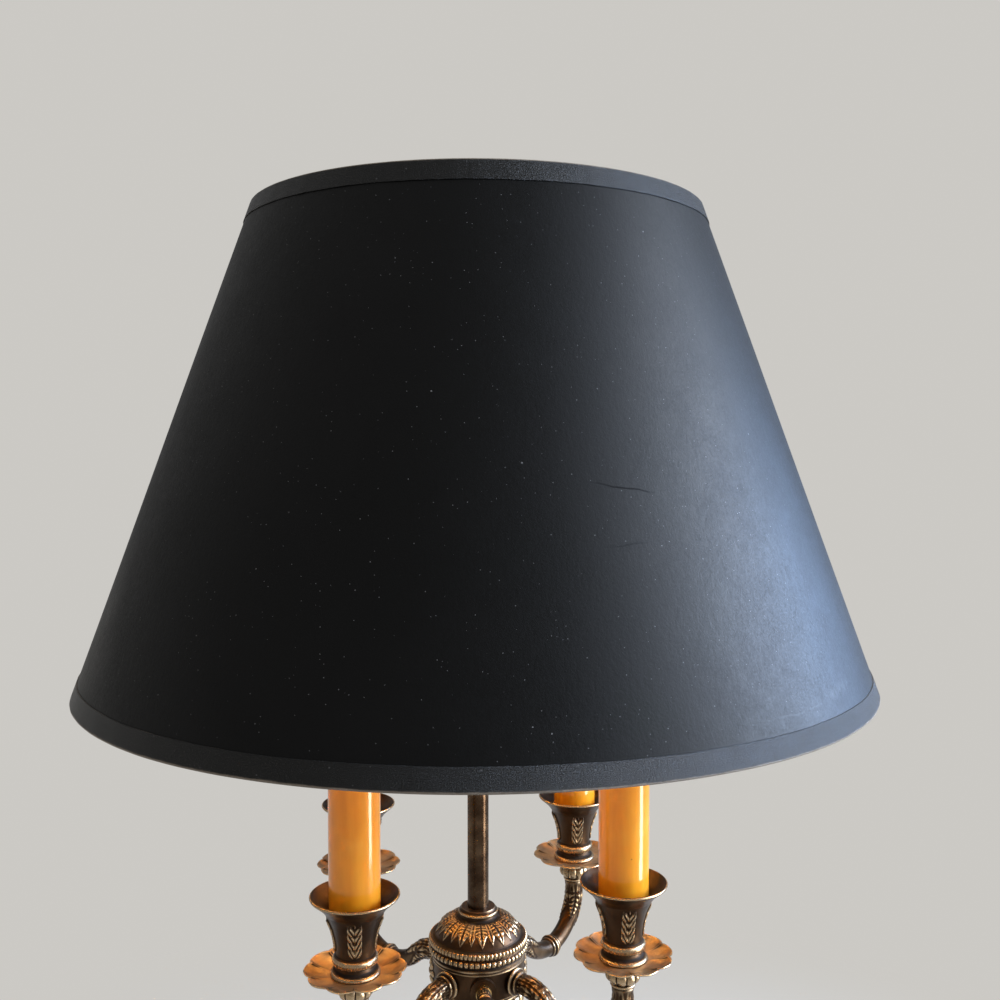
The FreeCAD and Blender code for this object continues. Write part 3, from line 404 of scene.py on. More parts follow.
# %% [markdown]
# Inside, the shade is lined with gold foil paper, which warms the light. Foil is metal, but crumpled on a
# small scale, so its highlights are broad.

# %% Material: gold foil


def make_foil():
    material, tree, shader = new_material("gold_foil", Metallic=0.85)
    where = object_place(tree)
    cloud = noise(tree, where, 45.0, 4.0)
    color = blend(tree, cloud, (0.62, 0.38, 0.13, 1), (0.80, 0.55, 0.24, 1))
    height = noise(tree, where, 330.0, 5.0, 0.6, 1.2)
    leaf = place(tree, grain, {"Vector": where, "Size": 260.0, "Roughness": 0.42, "Wander": 0.25})
    finish_with(tree, shader, color, leaf["Roughness"], height, 0.10 * MM)
    return material


gold_foil = make_foil()
print("made", gold_foil.name)

# %% [markdown]
# The tape on both rims is charcoal cloth, duller than the paper and speckled, because its fuzzy threads catch
# the light one by one. Its folded edge is painted pale. This is partly cloth rubbed pale and partly a painted
# highlight where light catches the fold. The UV map runs across the tape in metres, so this pale edge can
# follow the fold.

# %% Material: trim tape


def make_tape_finish():
    material, tree, shader = new_material("trim_tape", Specular_IOR_Level=0.27, Sheen_Weight=0.015,
                                          Sheen_Roughness=0.4)
    shader.inputs["Sheen Tint"].default_value = (0.75, 0.78, 0.85, 1)
    laid = add(tree, "ShaderNodeUVMap", uv_map="laid_out").outputs[0]
    where = object_place(tree)
    cloth = place(tree, weave, {"Vector": laid, "Threads": 1150.0})
    slub = noise(tree, laid, 1500.0, 4.0, 0.75)
    worn_here = add(tree, "ShaderNodeAttribute", attribute_name="wear").outputs["Fac"]
    patches = noise(tree, where, 160.0, 4.0, 0.7)
    # The pale fold is partly rubbed cloth and partly a painted highlight where light catches the fold.
    worn = ramp(tree, calc(tree, "MULTIPLY_ADD", patches, 0.7, worn_here), 0.62, 1.15)
    from_edge = add(tree, "ShaderNodeSeparateXYZ", {0: laid}).outputs[1]
    worn = calc(tree, "MULTIPLY", worn, ramp(tree, from_edge, 3 * MM, 5 * MM, 0.0, 0.8))
    color = blend(tree, ramp(tree, slub, 0.55, 0.75), (0.0006, 0.0006, 0.0005, 1), (0.050, 0.044, 0.039, 1))
    # Wear and painted highlight: the fold is mixed towards a pale tan.
    color = blend(tree, worn, color, (0.20, 0.165, 0.13, 1))
    lint = place(tree, specks, {"Vector": where, "Cells": 560.0, "Radius": 0.13, "Share": 0.14})["Mask"]
    color = blend(tree, calc(tree, "MULTIPLY", lint, 0.10), color, (0.45, 0.45, 0.46, 1))
    height = calc(tree, "MULTIPLY_ADD", slub, 5.0, cloth["Height"])
    finish_with(tree, shader, color, ramp(tree, slub, 0.40, 0.62, 0.56, 0.25), height, 0.06 * MM)
    return material


trim_tape = make_tape_finish()
print("made", trim_tape.name)

# %% [markdown]
# The candle sleeves are glossy honey-gold tubes, made to look like old wax. A clear coat gives the narrow
# bright highlight, a little subsurface light softens the body, and small dark flecks and faint long streaks
# keep the colour from being flat.

# %% Material: candle sleeve


def make_sleeve_finish():
    material, tree, shader = new_material("candle_sleeve", Coat_Weight=0.7, Coat_Roughness=0.08,
                                          Specular_IOR_Level=0.15, Subsurface_Weight=0.05, Subsurface_Scale=0.003)
    shader.inputs["Subsurface Radius"].default_value = (1.0, 0.45, 0.12)
    where = object_place(tree)
    streak_place = add(tree, "ShaderNodeMapping", {"Vector": where, "Scale": (1.0, 1.0, 0.12)}).outputs[0]
    streaks = noise(tree, streak_place, 260.0, 4.0)
    cloud = noise(tree, where, 60.0, 3.0)
    color = blend(tree, streaks, (0.62, 0.20, 0.004, 1), (0.78, 0.34, 0.020, 1))
    color = blend(tree, calc(tree, "MULTIPLY", ramp(tree, cloud, 0.45, 0.8), 0.35), color, (0.82, 0.43, 0.06, 1))
    flecks = place(tree, specks, {"Vector": where, "Cells": 260.0, "Radius": 0.10, "Share": 0.10})["Mask"]
    color = blend(tree, calc(tree, "MULTIPLY", flecks, 0.65), color, (0.14, 0.06, 0.015, 1))
    wax = place(tree, grain, {"Vector": where, "Size": 130.0, "Roughness": 0.34, "Wander": 0.15})
    finish_with(tree, shader, color, wax["Roughness"], wax["Height"], 0.03 * MM)
    return material


candle_sleeve = make_sleeve_finish()
print("made", candle_sleeve.name)

# %% [markdown]
# All the cast and turned metal is bronze under a dark brown patina. The drip pans are paler. This is partly
# wiped metal and partly painted light, which stands in for the lamp light that falls on their upturned faces.
# The rod, which the collar slides on, is smoother. One function makes all three from the same patina group
# with other numbers.

# %% Material: bronze


def make_bronze(name, roughness, bump, body, warm, rubbed):
    material, tree, shader = new_material(name, Metallic=0.88, Specular_IOR_Level=0.5)
    where = object_place(tree)
    wear = add(tree, "ShaderNodeAttribute", attribute_name="wear").outputs["Fac"]
    skin = place(tree, patina, {"Vector": where, "Wear": wear, "Body": body, "Warm": warm, "Rubbed": rubbed,
                                "Roughness": roughness})
    facing = add(tree, "ShaderNodeNewGeometry").outputs["Normal"]
    upward = add(tree, "ShaderNodeSeparateXYZ", {0: facing}).outputs[2]
    settled = calc(tree, "MULTIPLY", ramp(tree, upward, 0.75, 1.0), ramp(tree, noise(tree, where, 240.0, 5.0), 0.4, 0.75))
    color = blend(tree, calc(tree, "MULTIPLY", settled, 0.22), skin["Color"], (0.33, 0.29, 0.25, 1))
    rough = calc(tree, "MULTIPLY_ADD", settled, 0.2, skin["Roughness"], clamp=True)
    finish_with(tree, shader, color, rough, skin["Height"], bump)
    return material


dark_bronze = make_bronze("dark_bronze", 0.36, 0.05 * MM, (0.028, 0.014, 0.006, 1), (0.072, 0.037, 0.017, 1),
                          (0.42, 0.30, 0.175, 1))
# The pans' paler colours are partly wiped metal and partly painted lamp light on their upturned faces.
wiped_and_lamplit_pan_bronze = make_bronze("wiped_and_lamplit_pan_bronze", 0.34, 0.04 * MM, (0.32, 0.19, 0.092, 1), (0.60, 0.40, 0.21, 1),
                         (0.70, 0.50, 0.28, 1))
rod_bronze = make_bronze("rod_bronze", 0.28, 0.01 * MM, (0.030, 0.015, 0.007, 1), (0.055, 0.030, 0.016, 1),
                         (0.45, 0.32, 0.20, 1))
print("made", dark_bronze.name, wiped_and_lamplit_pan_bronze.name, "and", rod_bronze.name)

# %% [markdown]
# The other finishes are few-line recipes: a plain metal takes a tint, a roughness and some grain, and a
# moulded or cloth one the same with no metal. One function makes them all.

# %% Materials: plain finishes


def make_plain(name, dark, light, roughness, wander, size, bump, metallic=0.0, **plain):
    """Two close tints mixed by noise, with grain of a given size and a bump of a given depth."""
    material, tree, shader = new_material(name, Metallic=metallic, **plain)
    where = object_place(tree)
    color = blend(tree, noise(tree, where, size * 0.4, 4.0), dark, light)
    skin = place(tree, grain, {"Vector": where, "Size": size, "Roughness": roughness, "Wander": wander})
    finish_with(tree, shader, color, skin["Roughness"], skin["Height"], bump)
    return material


shade_wire = make_plain("shade_wire", (0.42, 0.29, 0.12, 1), (0.62, 0.45, 0.21, 1), 0.33, 0.25, 300.0, 0.02 * MM, 1.0)
brass_shell = make_plain("brass_shell", (0.58, 0.40, 0.16, 1), (0.74, 0.54, 0.26, 1), 0.28, 0.2, 260.0, 0.01 * MM, 1.0)
nickel_cap = make_plain("nickel_cap", (0.50, 0.49, 0.46, 1), (0.66, 0.65, 0.61, 1), 0.24, 0.2, 300.0, 0.01 * MM, 1.0)
plated_steel = make_plain("plated_steel", (0.42, 0.41, 0.38, 1), (0.60, 0.58, 0.52, 1), 0.36, 0.3, 220.0,
                          0.02 * MM, 1.0)
grey_iron = make_plain("grey_iron", (0.035, 0.034, 0.033, 1), (0.10, 0.096, 0.09, 1), 0.72, 0.3, 180.0, 0.25 * MM, 0.6)
socket_phenolic = make_plain("socket_phenolic", (0.010, 0.009, 0.008, 1), (0.022, 0.018, 0.016, 1), 0.30, 0.2,
                             200.0, 0.02 * MM)
black_bushing = make_plain("black_bushing", (0.010, 0.010, 0.010, 1), (0.022, 0.022, 0.022, 1), 0.42, 0.2,
                           240.0, 0.02 * MM)
lead_cover = make_plain("lead_cover", (0.42, 0.29, 0.11, 1), (0.58, 0.42, 0.18, 1), 0.42, 0.2, 300.0, 0.02 * MM)
green_felt = make_plain("green_felt", (0.010, 0.024, 0.014, 1), (0.030, 0.060, 0.036, 1), 0.95, 0.05, 1400.0,
                        0.5 * MM, Sheen_Weight=0.4, Sheen_Roughness=0.5)
print("made nine plain finishes")

# %% [markdown]
# The lamps are clear glass with a warm filament. Glass needs only its own sockets and a faint film of
# grime in the roughness. The filament glows, and small warm light sources stand inside the lamps, so the
# gold lining and the cups catch the same amber light as in the photograph.

# %% Materials: glass and filament


def make_glass(name, tint, dull):
    material, tree, shader = new_material(name, Transmission_Weight=1.0, IOR=1.46, Metallic=0.0)
    where = object_place(tree)
    color = blend(tree, noise(tree, where, 30.0, 2.0), tint, (1.0, 1.0, 1.0, 1))
    film = ramp(tree, noise(tree, where, 120.0, 4.0), 0.45, 0.8, 0.0, dull)
    finish_with(tree, shader, color, film)
    return material


def make_glow():
    material, tree, shader = new_material("filament_wire", Emission_Strength=2.2, Roughness=0.4)
    where = object_place(tree)
    heat = blend(tree, noise(tree, where, 700.0, 2.0), (1.0, 0.42, 0.10, 1), (1.0, 0.66, 0.30, 1))
    tree.links.new(heat, shader.inputs["Emission Color"])
    finish_with(tree, shader, heat)
    return material


clear_glass = make_glass("clear_glass", (0.97, 0.96, 0.93, 1), 0.10)
filament_wire = make_glow()
print("made", clear_glass.name, "and", filament_wire.name)

# %% [markdown]
# Every new piece is a grid of points. Neighbouring points make one four-sided face, and a grid that closes
# on itself joins its last row or column to its first. Points that fall together, as at a pole on the axis,
# are merged. The sign of the enclosed volume tells whether the faces point outwards.

# %% Mesh helper


RAISED_SHARE = 0.40


def neighbours(points, axis, wrapped):
    """The points before and after each one along an axis. At an open end the point stands for itself."""
    before = np.roll(points, 1, axis)
    after = np.roll(points, -1, axis)
    if not wrapped:
        first = [slice(None)] * points.ndim
        last = list(first)
        first[axis] = 0
        last[axis] = -1
        before[tuple(first)] = points[tuple(first)]
        after[tuple(last)] = points[tuple(last)]
    return before, after


def wear_of(points, wrapped, outward):
    """How convex the surface is: minus the second difference along both directions, divided by the squared
    spacing, measured along the outward normal, and scaled so that a 1.5 mm edge radius gives about 1."""
    slopes = []
    bends = []
    for axis in (0, 1):
        before, after = neighbours(points, axis, wrapped[axis])
        slopes.append(after - before)
        near = np.linalg.norm(points - before, axis=2)
        far = np.linalg.norm(after - points, axis=2)
        near = np.where(near < 1e-7, far, near) + 1e-9
        far = np.where(far < 1e-7, near, far) + 1e-9
        bends.append(2 * ((after - points) / far[..., None] - (points - before) / near[..., None])
                     / (near + far)[..., None])
    normal = np.cross(slopes[0], slopes[1])
    normal *= outward / (np.linalg.norm(normal, axis=2, keepdims=True) + 1e-12)
    convex = -np.einsum("ijk,ijk->ij", bends[0] + bends[1], normal) * 1.5 * MM
    convex = np.clip(convex, -1, 1)
    for axis in (0, 1):
        before, after = neighbours(convex, axis, wrapped[axis])
        convex = (before + 2 * convex + after) / 4
    return convex


def grid_piece(name, points, material, slot, wrapped=(False, True), lengths=(1.0, 1.0), sharp=38.0, merge=False,
               raised=0.0, body="root", replaces=()):
    """A mesh from points[row, column]. Face = (i, j), (i, j + 1), (i + 1, j + 1), (i + 1, j). The wear is the
    convexity, plus a share of how far the carving stands out."""
    rows, columns = points.shape[:2]
    index = np.arange(rows * columns).reshape(rows, columns)
    if wrapped[0]:
        index = np.vstack([index, index[:1]])
    if wrapped[1]:
        index = np.hstack([index, index[:, :1]])
    along, across = np.indices(index.shape)
    laid = np.stack([across / (index.shape[1] - 1) * lengths[0], along / (index.shape[0] - 1) * lengths[1]], -1)
    corners = (np.s_[:-1, :-1], np.s_[:-1, 1:], np.s_[1:, 1:], np.s_[1:, :-1])
    quads = np.stack([index[corner] for corner in corners], -1).reshape(-1, 4)
    layout = np.stack([laid[corner] for corner in corners], 2).reshape(-1, 4, 2)
    flat = points.reshape(-1, 3).astype(np.float64)
    a, b, c, d = (flat[quads[:, corner]] for corner in range(4))
    volume = np.einsum("ij,ij->", a, np.cross(b, c)) + np.einsum("ij,ij->", a, np.cross(c, d))
    if volume < 0:
        quads = quads[:, ::-1]
        layout = layout[:, ::-1]
    wear = wear_of(points, wrapped, -1.0 if volume > 0 else 1.0) + RAISED_SHARE * raised
    mesh = bpy.data.meshes.new(name)
    mesh.vertices.add(len(flat))
    mesh.vertices.foreach_set("co", flat.astype(np.float32).ravel())
    mesh.loops.add(quads.size)
    mesh.polygons.add(len(quads))
    mesh.polygons.foreach_set("loop_start", np.arange(0, quads.size, 4, dtype=np.int32))
    mesh.polygons.foreach_set("vertices", quads.astype(np.int32).ravel())
    mesh.update(calc_edges=True)
    mesh.uv_layers.new(name="laid_out").data.foreach_set("uv", layout.astype(np.float32).ravel())
    mesh.attributes.new("wear", "FLOAT", "POINT").data.foreach_set("value", wear.astype(np.float32).ravel())
    if merge:
        welded = bmesh.new()
        welded.from_mesh(mesh)
        bmesh.ops.remove_doubles(welded, verts=welded.verts, dist=0.002 * MM)
        bmesh.ops.dissolve_degenerate(welded, edges=welded.edges, dist=0.001 * MM)
        welded.to_mesh(mesh)
        welded.free()
    mesh.shade_smooth()
    mesh.set_sharp_from_angle(angle=math.radians(sharp))
    mesh.materials.append(material)
    piece = bpy.data.objects.new(name, mesh)
    bpy.context.scene.collection.objects.link(piece)
    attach(piece, body)
    if replaces:
        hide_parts(*replaces)
    return piece


print("mesh helper ready")

# %% [markdown]
# A turned piece is a profile carried once round an axis. The profile is a closed outline of (radius,
# height) points that goes up the outside and comes down the inside, so its outward side is known. It is
# given as runs: two points make a straight run, and more make a smooth curve through them. Ornament is a
# height field laid over the turned form, pushed out along the profile's own normal.

# %% Turning helpers


def smooth_run(points, steps):
    """A cubic on each stretch between two points. The heading at a point is the mean of the headings of both
    stretches there, in which the shorter one counts more, so that uneven spacing makes no overshoot."""
    inner = np.asarray(points, float)
    track = np.vstack([2 * inner[0] - inner[1], inner, 2 * inner[-1] - inner[-2]])
    steps_between = np.diff(track, axis=0)
    length = np.linalg.norm(steps_between, axis=1, keepdims=True)
    heading = steps_between / length
    mean = (heading[:-1] * length[1:] + heading[1:] * length[:-1]) / (length[:-1] + length[1:])
    t = np.linspace(0, 1, steps, endpoint=False)[:, None]
    spans = [(2 * t ** 3 - 3 * t ** 2 + 1) * start + (t ** 3 - 2 * t ** 2 + t) * span * leave
             + (3 * t ** 2 - 2 * t ** 3) * end + (t ** 3 - t ** 2) * span * arrive
             for start, end, leave, arrive, span in zip(inner[:-1], inner[1:], mean[:-1], mean[1:], length[1:-1])]
    return np.vstack(spans + [inner[-1:]])


def outline(*runs, steps=6):
    """Join runs of (radius, height) in millimetres into one outline in metres."""
    parts = []
    for run in runs:
        if len(run) == 2:
            parts.append(np.linspace(run[0], run[1], steps + 1))
        else:
            parts.append(smooth_run(run, steps))
    joined = np.vstack([parts[0]] + [part[1:] for part in parts[1:]])
    if np.allclose(joined[0], joined[-1]):
        joined = joined[:-1]
    return joined * MM


def side_of(profile, closed):
    """The outward normal of a profile that goes up the outside: (rise, -run) over its length."""
    before, after = neighbours(profile, 0, closed)
    step = after - before
    normal = np.stack([step[:, 1], -step[:, 0]], 1)
    return normal / (np.linalg.norm(normal, axis=1, keepdims=True) + 1e-12)


def turned_points(profile, columns, centre=(0.0, 0.0), relief=None, closed=True, start=0.0):
    """Points (x + r cos a, y + r sin a, z), after the relief has moved r and z along the normal. The relief
    is a function of the angle, the height and the radius."""
    angle = start + np.linspace(0, TAU, columns, endpoint=False)[None, :]
    radius = np.repeat(profile[:, :1], columns, 1)
    height = np.repeat(profile[:, 1:], columns, 1)
    if relief is not None:
        normal = side_of(profile, closed)
        push = relief(angle, height, radius) * (normal[:, :1] > -0.2)
        radius = radius + push * normal[:, :1]
        height = height + push * normal[:, 1:]
    return np.stack([centre[0] + radius * np.cos(angle), centre[1] + radius * np.sin(angle), height], -1)


def turned(name, profile, columns, material, slot, centre=(0.0, 0.0), relief=None, closed=True, **more):
    """A turned piece. An open profile starts and ends on its axis, and its poles are merged. How far the
    carving stands out is its reach from the axis plus its height, less the same on the plain form."""
    points = turned_points(profile, columns, centre, relief, closed)
    plain = turned_points(profile, columns, centre, None, closed)
    reach, level = [np.hypot(part[..., 0] - centre[0], part[..., 1] - centre[1]) + part[..., 2] for part in (points, plain)]
    raised = np.clip((reach - level) / MM, -1, 1)
    return grid_piece(name, points, material, slot, wrapped=(closed, True), merge=not closed, raised=raised, **more)


def measure(node):
    """Distances from the lamp's axis and heights of a CAD node's points."""
    mesh = frame["nodes"][node].data
    points = np.zeros(len(mesh.vertices) * 3, np.float32)
    mesh.vertices.foreach_get("co", points)
    x, y, z = points.reshape(-1, 3).T
    return np.hypot(x, y), z


def centre_of(node):
    """The middle of a CAD node's box, seen from above."""
    low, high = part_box(node)
    return (low.x + high.x) / 2, (low.y + high.y) / 2


def leaf(across, along, width, length):
    """A pointed leaf as a height from 0 to 1: half width = width / 2 * sin(pi t ^ 0.8), where t goes from the
    stem to the tip, a round back across it, and a shallow groove down its middle."""
    t = np.clip(along / length, 0, 1)
    half = width / 2 * np.sin(np.pi * t ** 0.8) + 1e-9
    inside = np.clip(1 - (across / half) ** 2, 0, 1)
    rib = 1 - 0.45 * np.exp(-(across / (0.10 * width)) ** 2)
    return np.where((along > 0) & (along < length), np.sqrt(inside) * rib, 0)


def spread(angle, count, offset=0.0):
    """The angle to the nearest of a number of evenly spaced directions, between plus and minus half a step."""
    step = TAU / count
    return (angle - offset + step / 2) % step - step / 2


print("turning helpers ready")

# %% [markdown]
# The shade is one sheet of paper rolled into a cone and glued along an overlap at the back. The cone is a
# ruled surface between the two rims. A real one is never quite round between its wires, so a few long waves
# move the middle by a quarter of a millimetre, and at the seam the outer layer stands one paper proud.

# %% Shade: paper and lining
shell_reach, shell_height = measure("shade_shell")
SHADE_LOW = float(shell_height.min())
SHADE_HIGH = float(shell_height.max())
RIM_LOW = float(shell_reach[shell_height < SHADE_LOW + 0.1 * MM].max())
RIM_HIGH = float(shell_reach[shell_height > SHADE_HIGH - 0.1 * MM].max())
PAPER = 0.9 * MM
FOIL = 0.3 * MM
SEAM_AT = math.radians(94)
SEAM_RAMP = 0.09
SEAM_STEP = 0.35 * MM
RIPPLE = 0.28 * MM


def wall(angle, height, offset):
    """Radius of the shade at an angle and a height: the straight line between the rims, plus an offset, plus
    long waves that die out at both rims."""
    t = (height - SHADE_LOW) / (SHADE_HIGH - SHADE_LOW)
    waves = np.sin(3 * angle + 0.7) + 0.6 * np.sin(5 * angle + 2.1 + 2 * t) + 0.35 * np.sin(9 * angle + 4 * t)
    swell = np.sin(np.pi * np.clip(t, 0, 1))
    return RIM_LOW + (RIM_HIGH - RIM_LOW) * t + offset + RIPPLE * waves * swell


def seam(angle):
    """The outer layer rises over the seam's ramp and ends in a sharp step."""
    past = (SEAM_AT - angle) % TAU
    return SEAM_STEP * np.clip(1 - past / SEAM_RAMP, 0, 1)


def shade_layer(name, outer, inner, with_seam, material, slot, node):
    """A cone wall: the outer surface from bottom to top, and the inner one back down."""
    edges = [SEAM_AT - SEAM_RAMP, SEAM_AT - 0.0006, SEAM_AT, SEAM_AT + 0.0006]
    angle = np.sort(np.concatenate([np.linspace(0, TAU, 360, endpoint=False), edges]))[None, :]
    height = np.linspace(SHADE_LOW, SHADE_HIGH, 64)[:, None] + 0 * angle
    step = seam(angle) if with_seam else 0.0
    out = wall(angle, height, outer) + step
    back = wall(angle, height, inner)[::-1]
    radius = np.vstack([out, back])
    level = np.vstack([height, height[::-1]])
    points = np.stack([radius * np.cos(angle), radius * np.sin(angle), level], -1)
    return grid_piece(name, points, material, slot, wrapped=(True, True), sharp=50, body="shade", replaces=(node,))


shade_paper = shade_layer("shade_paper", 0.0, -PAPER, True, black_paper, "black_paper", "shade_shell")
shade_foil = shade_layer("shade_foil", -PAPER - 0.05 * MM, -PAPER - 0.05 * MM - FOIL, False, gold_foil, "gold_foil",
                         "shade_lining")
print("shade", round(SHADE_LOW, 4), "to", round(SHADE_HIGH, 4), "radius", round(RIM_LOW, 4), "to", round(RIM_HIGH, 4))

# %% [markdown]
# Each trim is a strip of cloth tape folded over the rim and the wire behind it. Its section is a long leg
# outside, a soft fold round the wire and a short leg inside. Nothing glued by hand is even, so the free edge
# wanders by a fifth of a millimetre, and the tape's end overlaps its start at the back.

# %% Shade: tapes on both rims
TAPE = 0.42 * MM


def make_tape(name, node, wire, inward):
    """The section goes down the outside of the leg, round the fold and up inside, and then back along the
    other face. inward is 1 at the lower rim and -1 at the upper one, and turns all heights over."""
    reaches, heights = measure(node)
    wire_reach, wire_height = measure(wire)
    edge = SHADE_LOW if inward > 0 else SHADE_HIGH
    wide = abs((heights.max() if inward > 0 else heights.min()) - edge)
    turned_in = 4.4 * MM
    inner = float(wire_reach.min()) - 0.08 * MM
    columns = 512
    angle = np.linspace(0, TAU, columns, endpoint=False)
    wander = 0.05 * MM * (np.sin(7 * angle + 1) + np.sin(17 * angle + 2.4) + 0.8 * np.sin(41 * angle)
                          + 0.5 * np.sin(97 * angle + 0.5))
    puff = 0.07 * MM * (np.sin(13 * angle) + np.sin(29 * angle + 1.2) + np.sin(61 * angle + 2))
    lap = np.clip(1 - ((SEAM_AT + 0.02 - angle) % TAU) / 0.10, 0, 1) ** 0.3 * 0.30 * MM
    rows = []

    def row(depth, offset, free=0.0):
        """One line of points: depth is the distance from the rim into the shade, along its height."""
        height = edge + inward * (depth + free * wander)
        rows.append((wall(angle, height, 0.0) + offset, height + 0 * angle))

    def flat_row(radius, depth):
        """One line of points at a radius of its own."""
        rows.append((radius + 0 * angle, edge + inward * depth + 0 * angle))

    cover = TAPE + puff * 0.5 + lap
    row(wide, cover - 0.10 * MM, 1.0)
    row(wide - 0.07 * MM, cover - 0.02 * MM, 1.0)
    for share in np.linspace(0.975, 0, 14):
        row(wide * share, cover, 1.0 if share > 0.9 else share * 0.6)
    rim = RIM_LOW if inward > 0 else RIM_HIGH
    for turn_share in np.linspace(0.25, 1, 4):
        bend = turn_share * math.pi / 2
        flat_row(rim - 0.9 * MM + (0.9 * MM + cover) * math.cos(bend), -0.75 * MM * math.sin(bend))
    for share in (0.35, 0.7):
        flat_row(rim - 0.9 * MM + (inner + 0.7 * MM - rim + 0.9 * MM) * share, -0.78 * MM - puff * 0.2)
    for turn_share in np.linspace(0, 1, 4):
        bend = turn_share * math.pi / 2
        flat_row(inner + 0.7 * MM - 1.2 * MM * math.sin(bend), -0.75 * MM * math.cos(bend))
    flat_row(inner - 0.5 * MM, turned_in * 0.5)
    flat_row(inner - 0.5 * MM + puff * 0.3, turned_in - 0.15 * MM + wander)
    flat_row(inner - 0.2 * MM, turned_in + wander)
    flat_row(inner, turned_in - 0.2 * MM + wander)
    flat_row(inner, turned_in * 0.4)
    flat_row(inner + 0.6 * MM, -0.05 * MM)
    flat_row(rim - 0.9 * MM, -0.10 * MM)
    flat_row(rim + 0.02 * MM, -0.10 * MM)
    row(wide * 0.5, 0.03 * MM)
    row(wide - 0.1 * MM, 0.03 * MM, 1.0)
    radius, height = (np.array(part) for part in zip(*rows))
    points = np.stack([radius * np.cos(angle), radius * np.sin(angle), height], -1)
    around = TAU * rim
    length = float(np.linalg.norm(np.diff(points[:, 0], axis=0), axis=1).sum())
    return grid_piece(name, points, trim_tape, "trim_tape", wrapped=(True, True), lengths=(around, length),
                      sharp=60, body="shade", replaces=(node,))


for name, node, wire, inward in (("tape_lower", "bottom_trim", "bottom_wire", 1), ("tape_upper", "top_trim", "top_wire", -1)):
    tape = make_tape(name, node, wire, inward)
    print(tape.name, len(tape.data.polygons), "faces")

# %% [markdown]
# A candle sleeve is a thin tube with a softly rounded lip, standing in the flared mouth of its cup. The lip
# is a short smooth run of the outline, and the body is a hair uneven, as pressed board is.

# %% Candle sleeves


def make_sleeve(place_name):
    node = f"candle_cover_{place_name}"
    low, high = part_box(node)
    outer = (high.x - low.x) / 2 / MM
    base = low.z / MM
    top = high.z / MM
    inner = outer - 0.9
    profile = outline(
        [(inner, base), (outer - 0.1, base)],
        [(outer - 0.1, base), (outer - 0.02, base + 1)], [(outer - 0.02, base + 1), (outer, top - 0.8)],
        [(outer, top - 0.8), (outer - 0.12, top - 0.2), (outer - 0.45, top), (outer - 0.78, top - 0.2), (inner, top - 0.8)],
        [(inner, top - 0.8), (inner, base)], steps=8)

    def uneven(angle, height, radius):
        return 0.04 * MM * (np.sin(2 * angle + height * 40) + np.sin(5 * angle + height * 90))

    return turned(f"sleeve_{place_name}", profile, 96, candle_sleeve, "candle_sleeve", centre_of(node), uneven,
                  replaces=(node,))


for place_name in PLACES:
    make_sleeve(place_name)
print("sleeves at", [tuple(round(value, 4) for value in centre_of(f"candle_cover_{name}")) for name in PLACES])

# %% [markdown]
# The candle cups are cast like bell flowers: a small foot, a bead, a waisted body and a wide thin rim. Up
# the body climb four chains of husks, in pairs that lean to both sides. The husks are a height field on the
# turned body, so their rounded backs catch the light, as they do in the photograph. A pair is one leaf drawn
# with the distance from the chain's middle line, which mirrors it.

# %% Candle cups
HUSK_CHAINS = 4
HUSK_HEIGHTS = (9.6, 13.0, 16.4, 19.8)
HUSK_LEAN = math.radians(27)


def husk_pair(across, along, width, length):
    """Two leaves from one stem that lean to both sides, with a bud between them."""
    lean = np.abs(across) - 0.25 * MM
    aside = lean * math.cos(HUSK_LEAN) - along * math.sin(HUSK_LEAN)
    ahead = lean * math.sin(HUSK_LEAN) + along * math.cos(HUSK_LEAN)
    return np.maximum(leaf(aside, ahead, width, length), 0.8 * leaf(across, along - 1.2 * MM, 1.5 * MM, 3.6 * MM))


def make_cup(place_name):
    node = f"candle_cup_{place_name}"
    low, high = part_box(node)
    rim = (high.x - low.x) / 2 / MM
    base = low.z / MM
    top = (high.z - low.z) / MM
    sleeve = 10.95
    runs = [
        [(5.05, 0), (10.4, 0)],
        [(10.4, 0), (10.55, 0.6), (10.2, 1.3), (8.6, 2.4), (8.0, 4.0)],
        [(8.0, 4.0), (9.1, 4.7), (9.6, 5.9), (9.4, 7.3), (8.1, 8.6)],
        [(8.1, 8.6), (8.2, 12), (8.9, 17), (10.2, 21.5), (12.2, 26)],
        [(12.2, 26), (14.2, 28.6), (16.6, 30.8), (rim - 0.25, top - 1.1)],
        [(rim - 0.25, top - 1.1), (rim, top - 0.6), (rim - 0.25, top - 0.1), (rim - 0.8, top)],
        [(rim - 0.8, top), (16.2, 31.6), (13.6, 29.4), (sleeve + 0.3, 27.2)],
        [(sleeve + 0.3, 27.2), (sleeve, 25.5)],
        [(sleeve, 25.5), (5.05, 25.5)],
        [(5.05, 25.5), (5.05, 0)],
    ]
    profile = outline(*[[(r, base + z) for r, z in run] for run in runs], steps=9)

    def husks(angle, height, radius):
        rise = height / MM - base
        near = spread(angle, HUSK_CHAINS)
        outside = radius > (sleeve + 0.4) * MM
        raised = 0 * angle + 0 * height
        for count, start in enumerate(HUSK_HEIGHTS):
            width = (2.9 + 0.25 * count) * MM
            shape = husk_pair(near * radius, (rise - start) * MM, width, 5.4 * MM)
            raised = np.maximum(raised, shape * (0.95 + 0.10 * count))
        body = (rise > 9) & (rise < 26.5) & (radius < (sleeve + 4) * MM)
        return MM * raised * (body & (outside | (rise < 25)))

    return turned(f"cup_{place_name}", profile, 288, dark_bronze, "dark_bronze", centre_of(node), husks,
                  replaces=(node,))


for place_name in PLACES:
    cup = make_cup(place_name)
print("cups", len(cup.data.polygons), "faces each")

# %% [markdown]
# A drip pan is a shallow dish beaten out of one piece. Its edge is drawn into ten softly pointed lobes, with
# a crease between each two that runs in towards the middle. The lobes are made by shortening the radius
# between them, more and more towards the edge.

# %% Drip pans
PAN_LOBES = 10


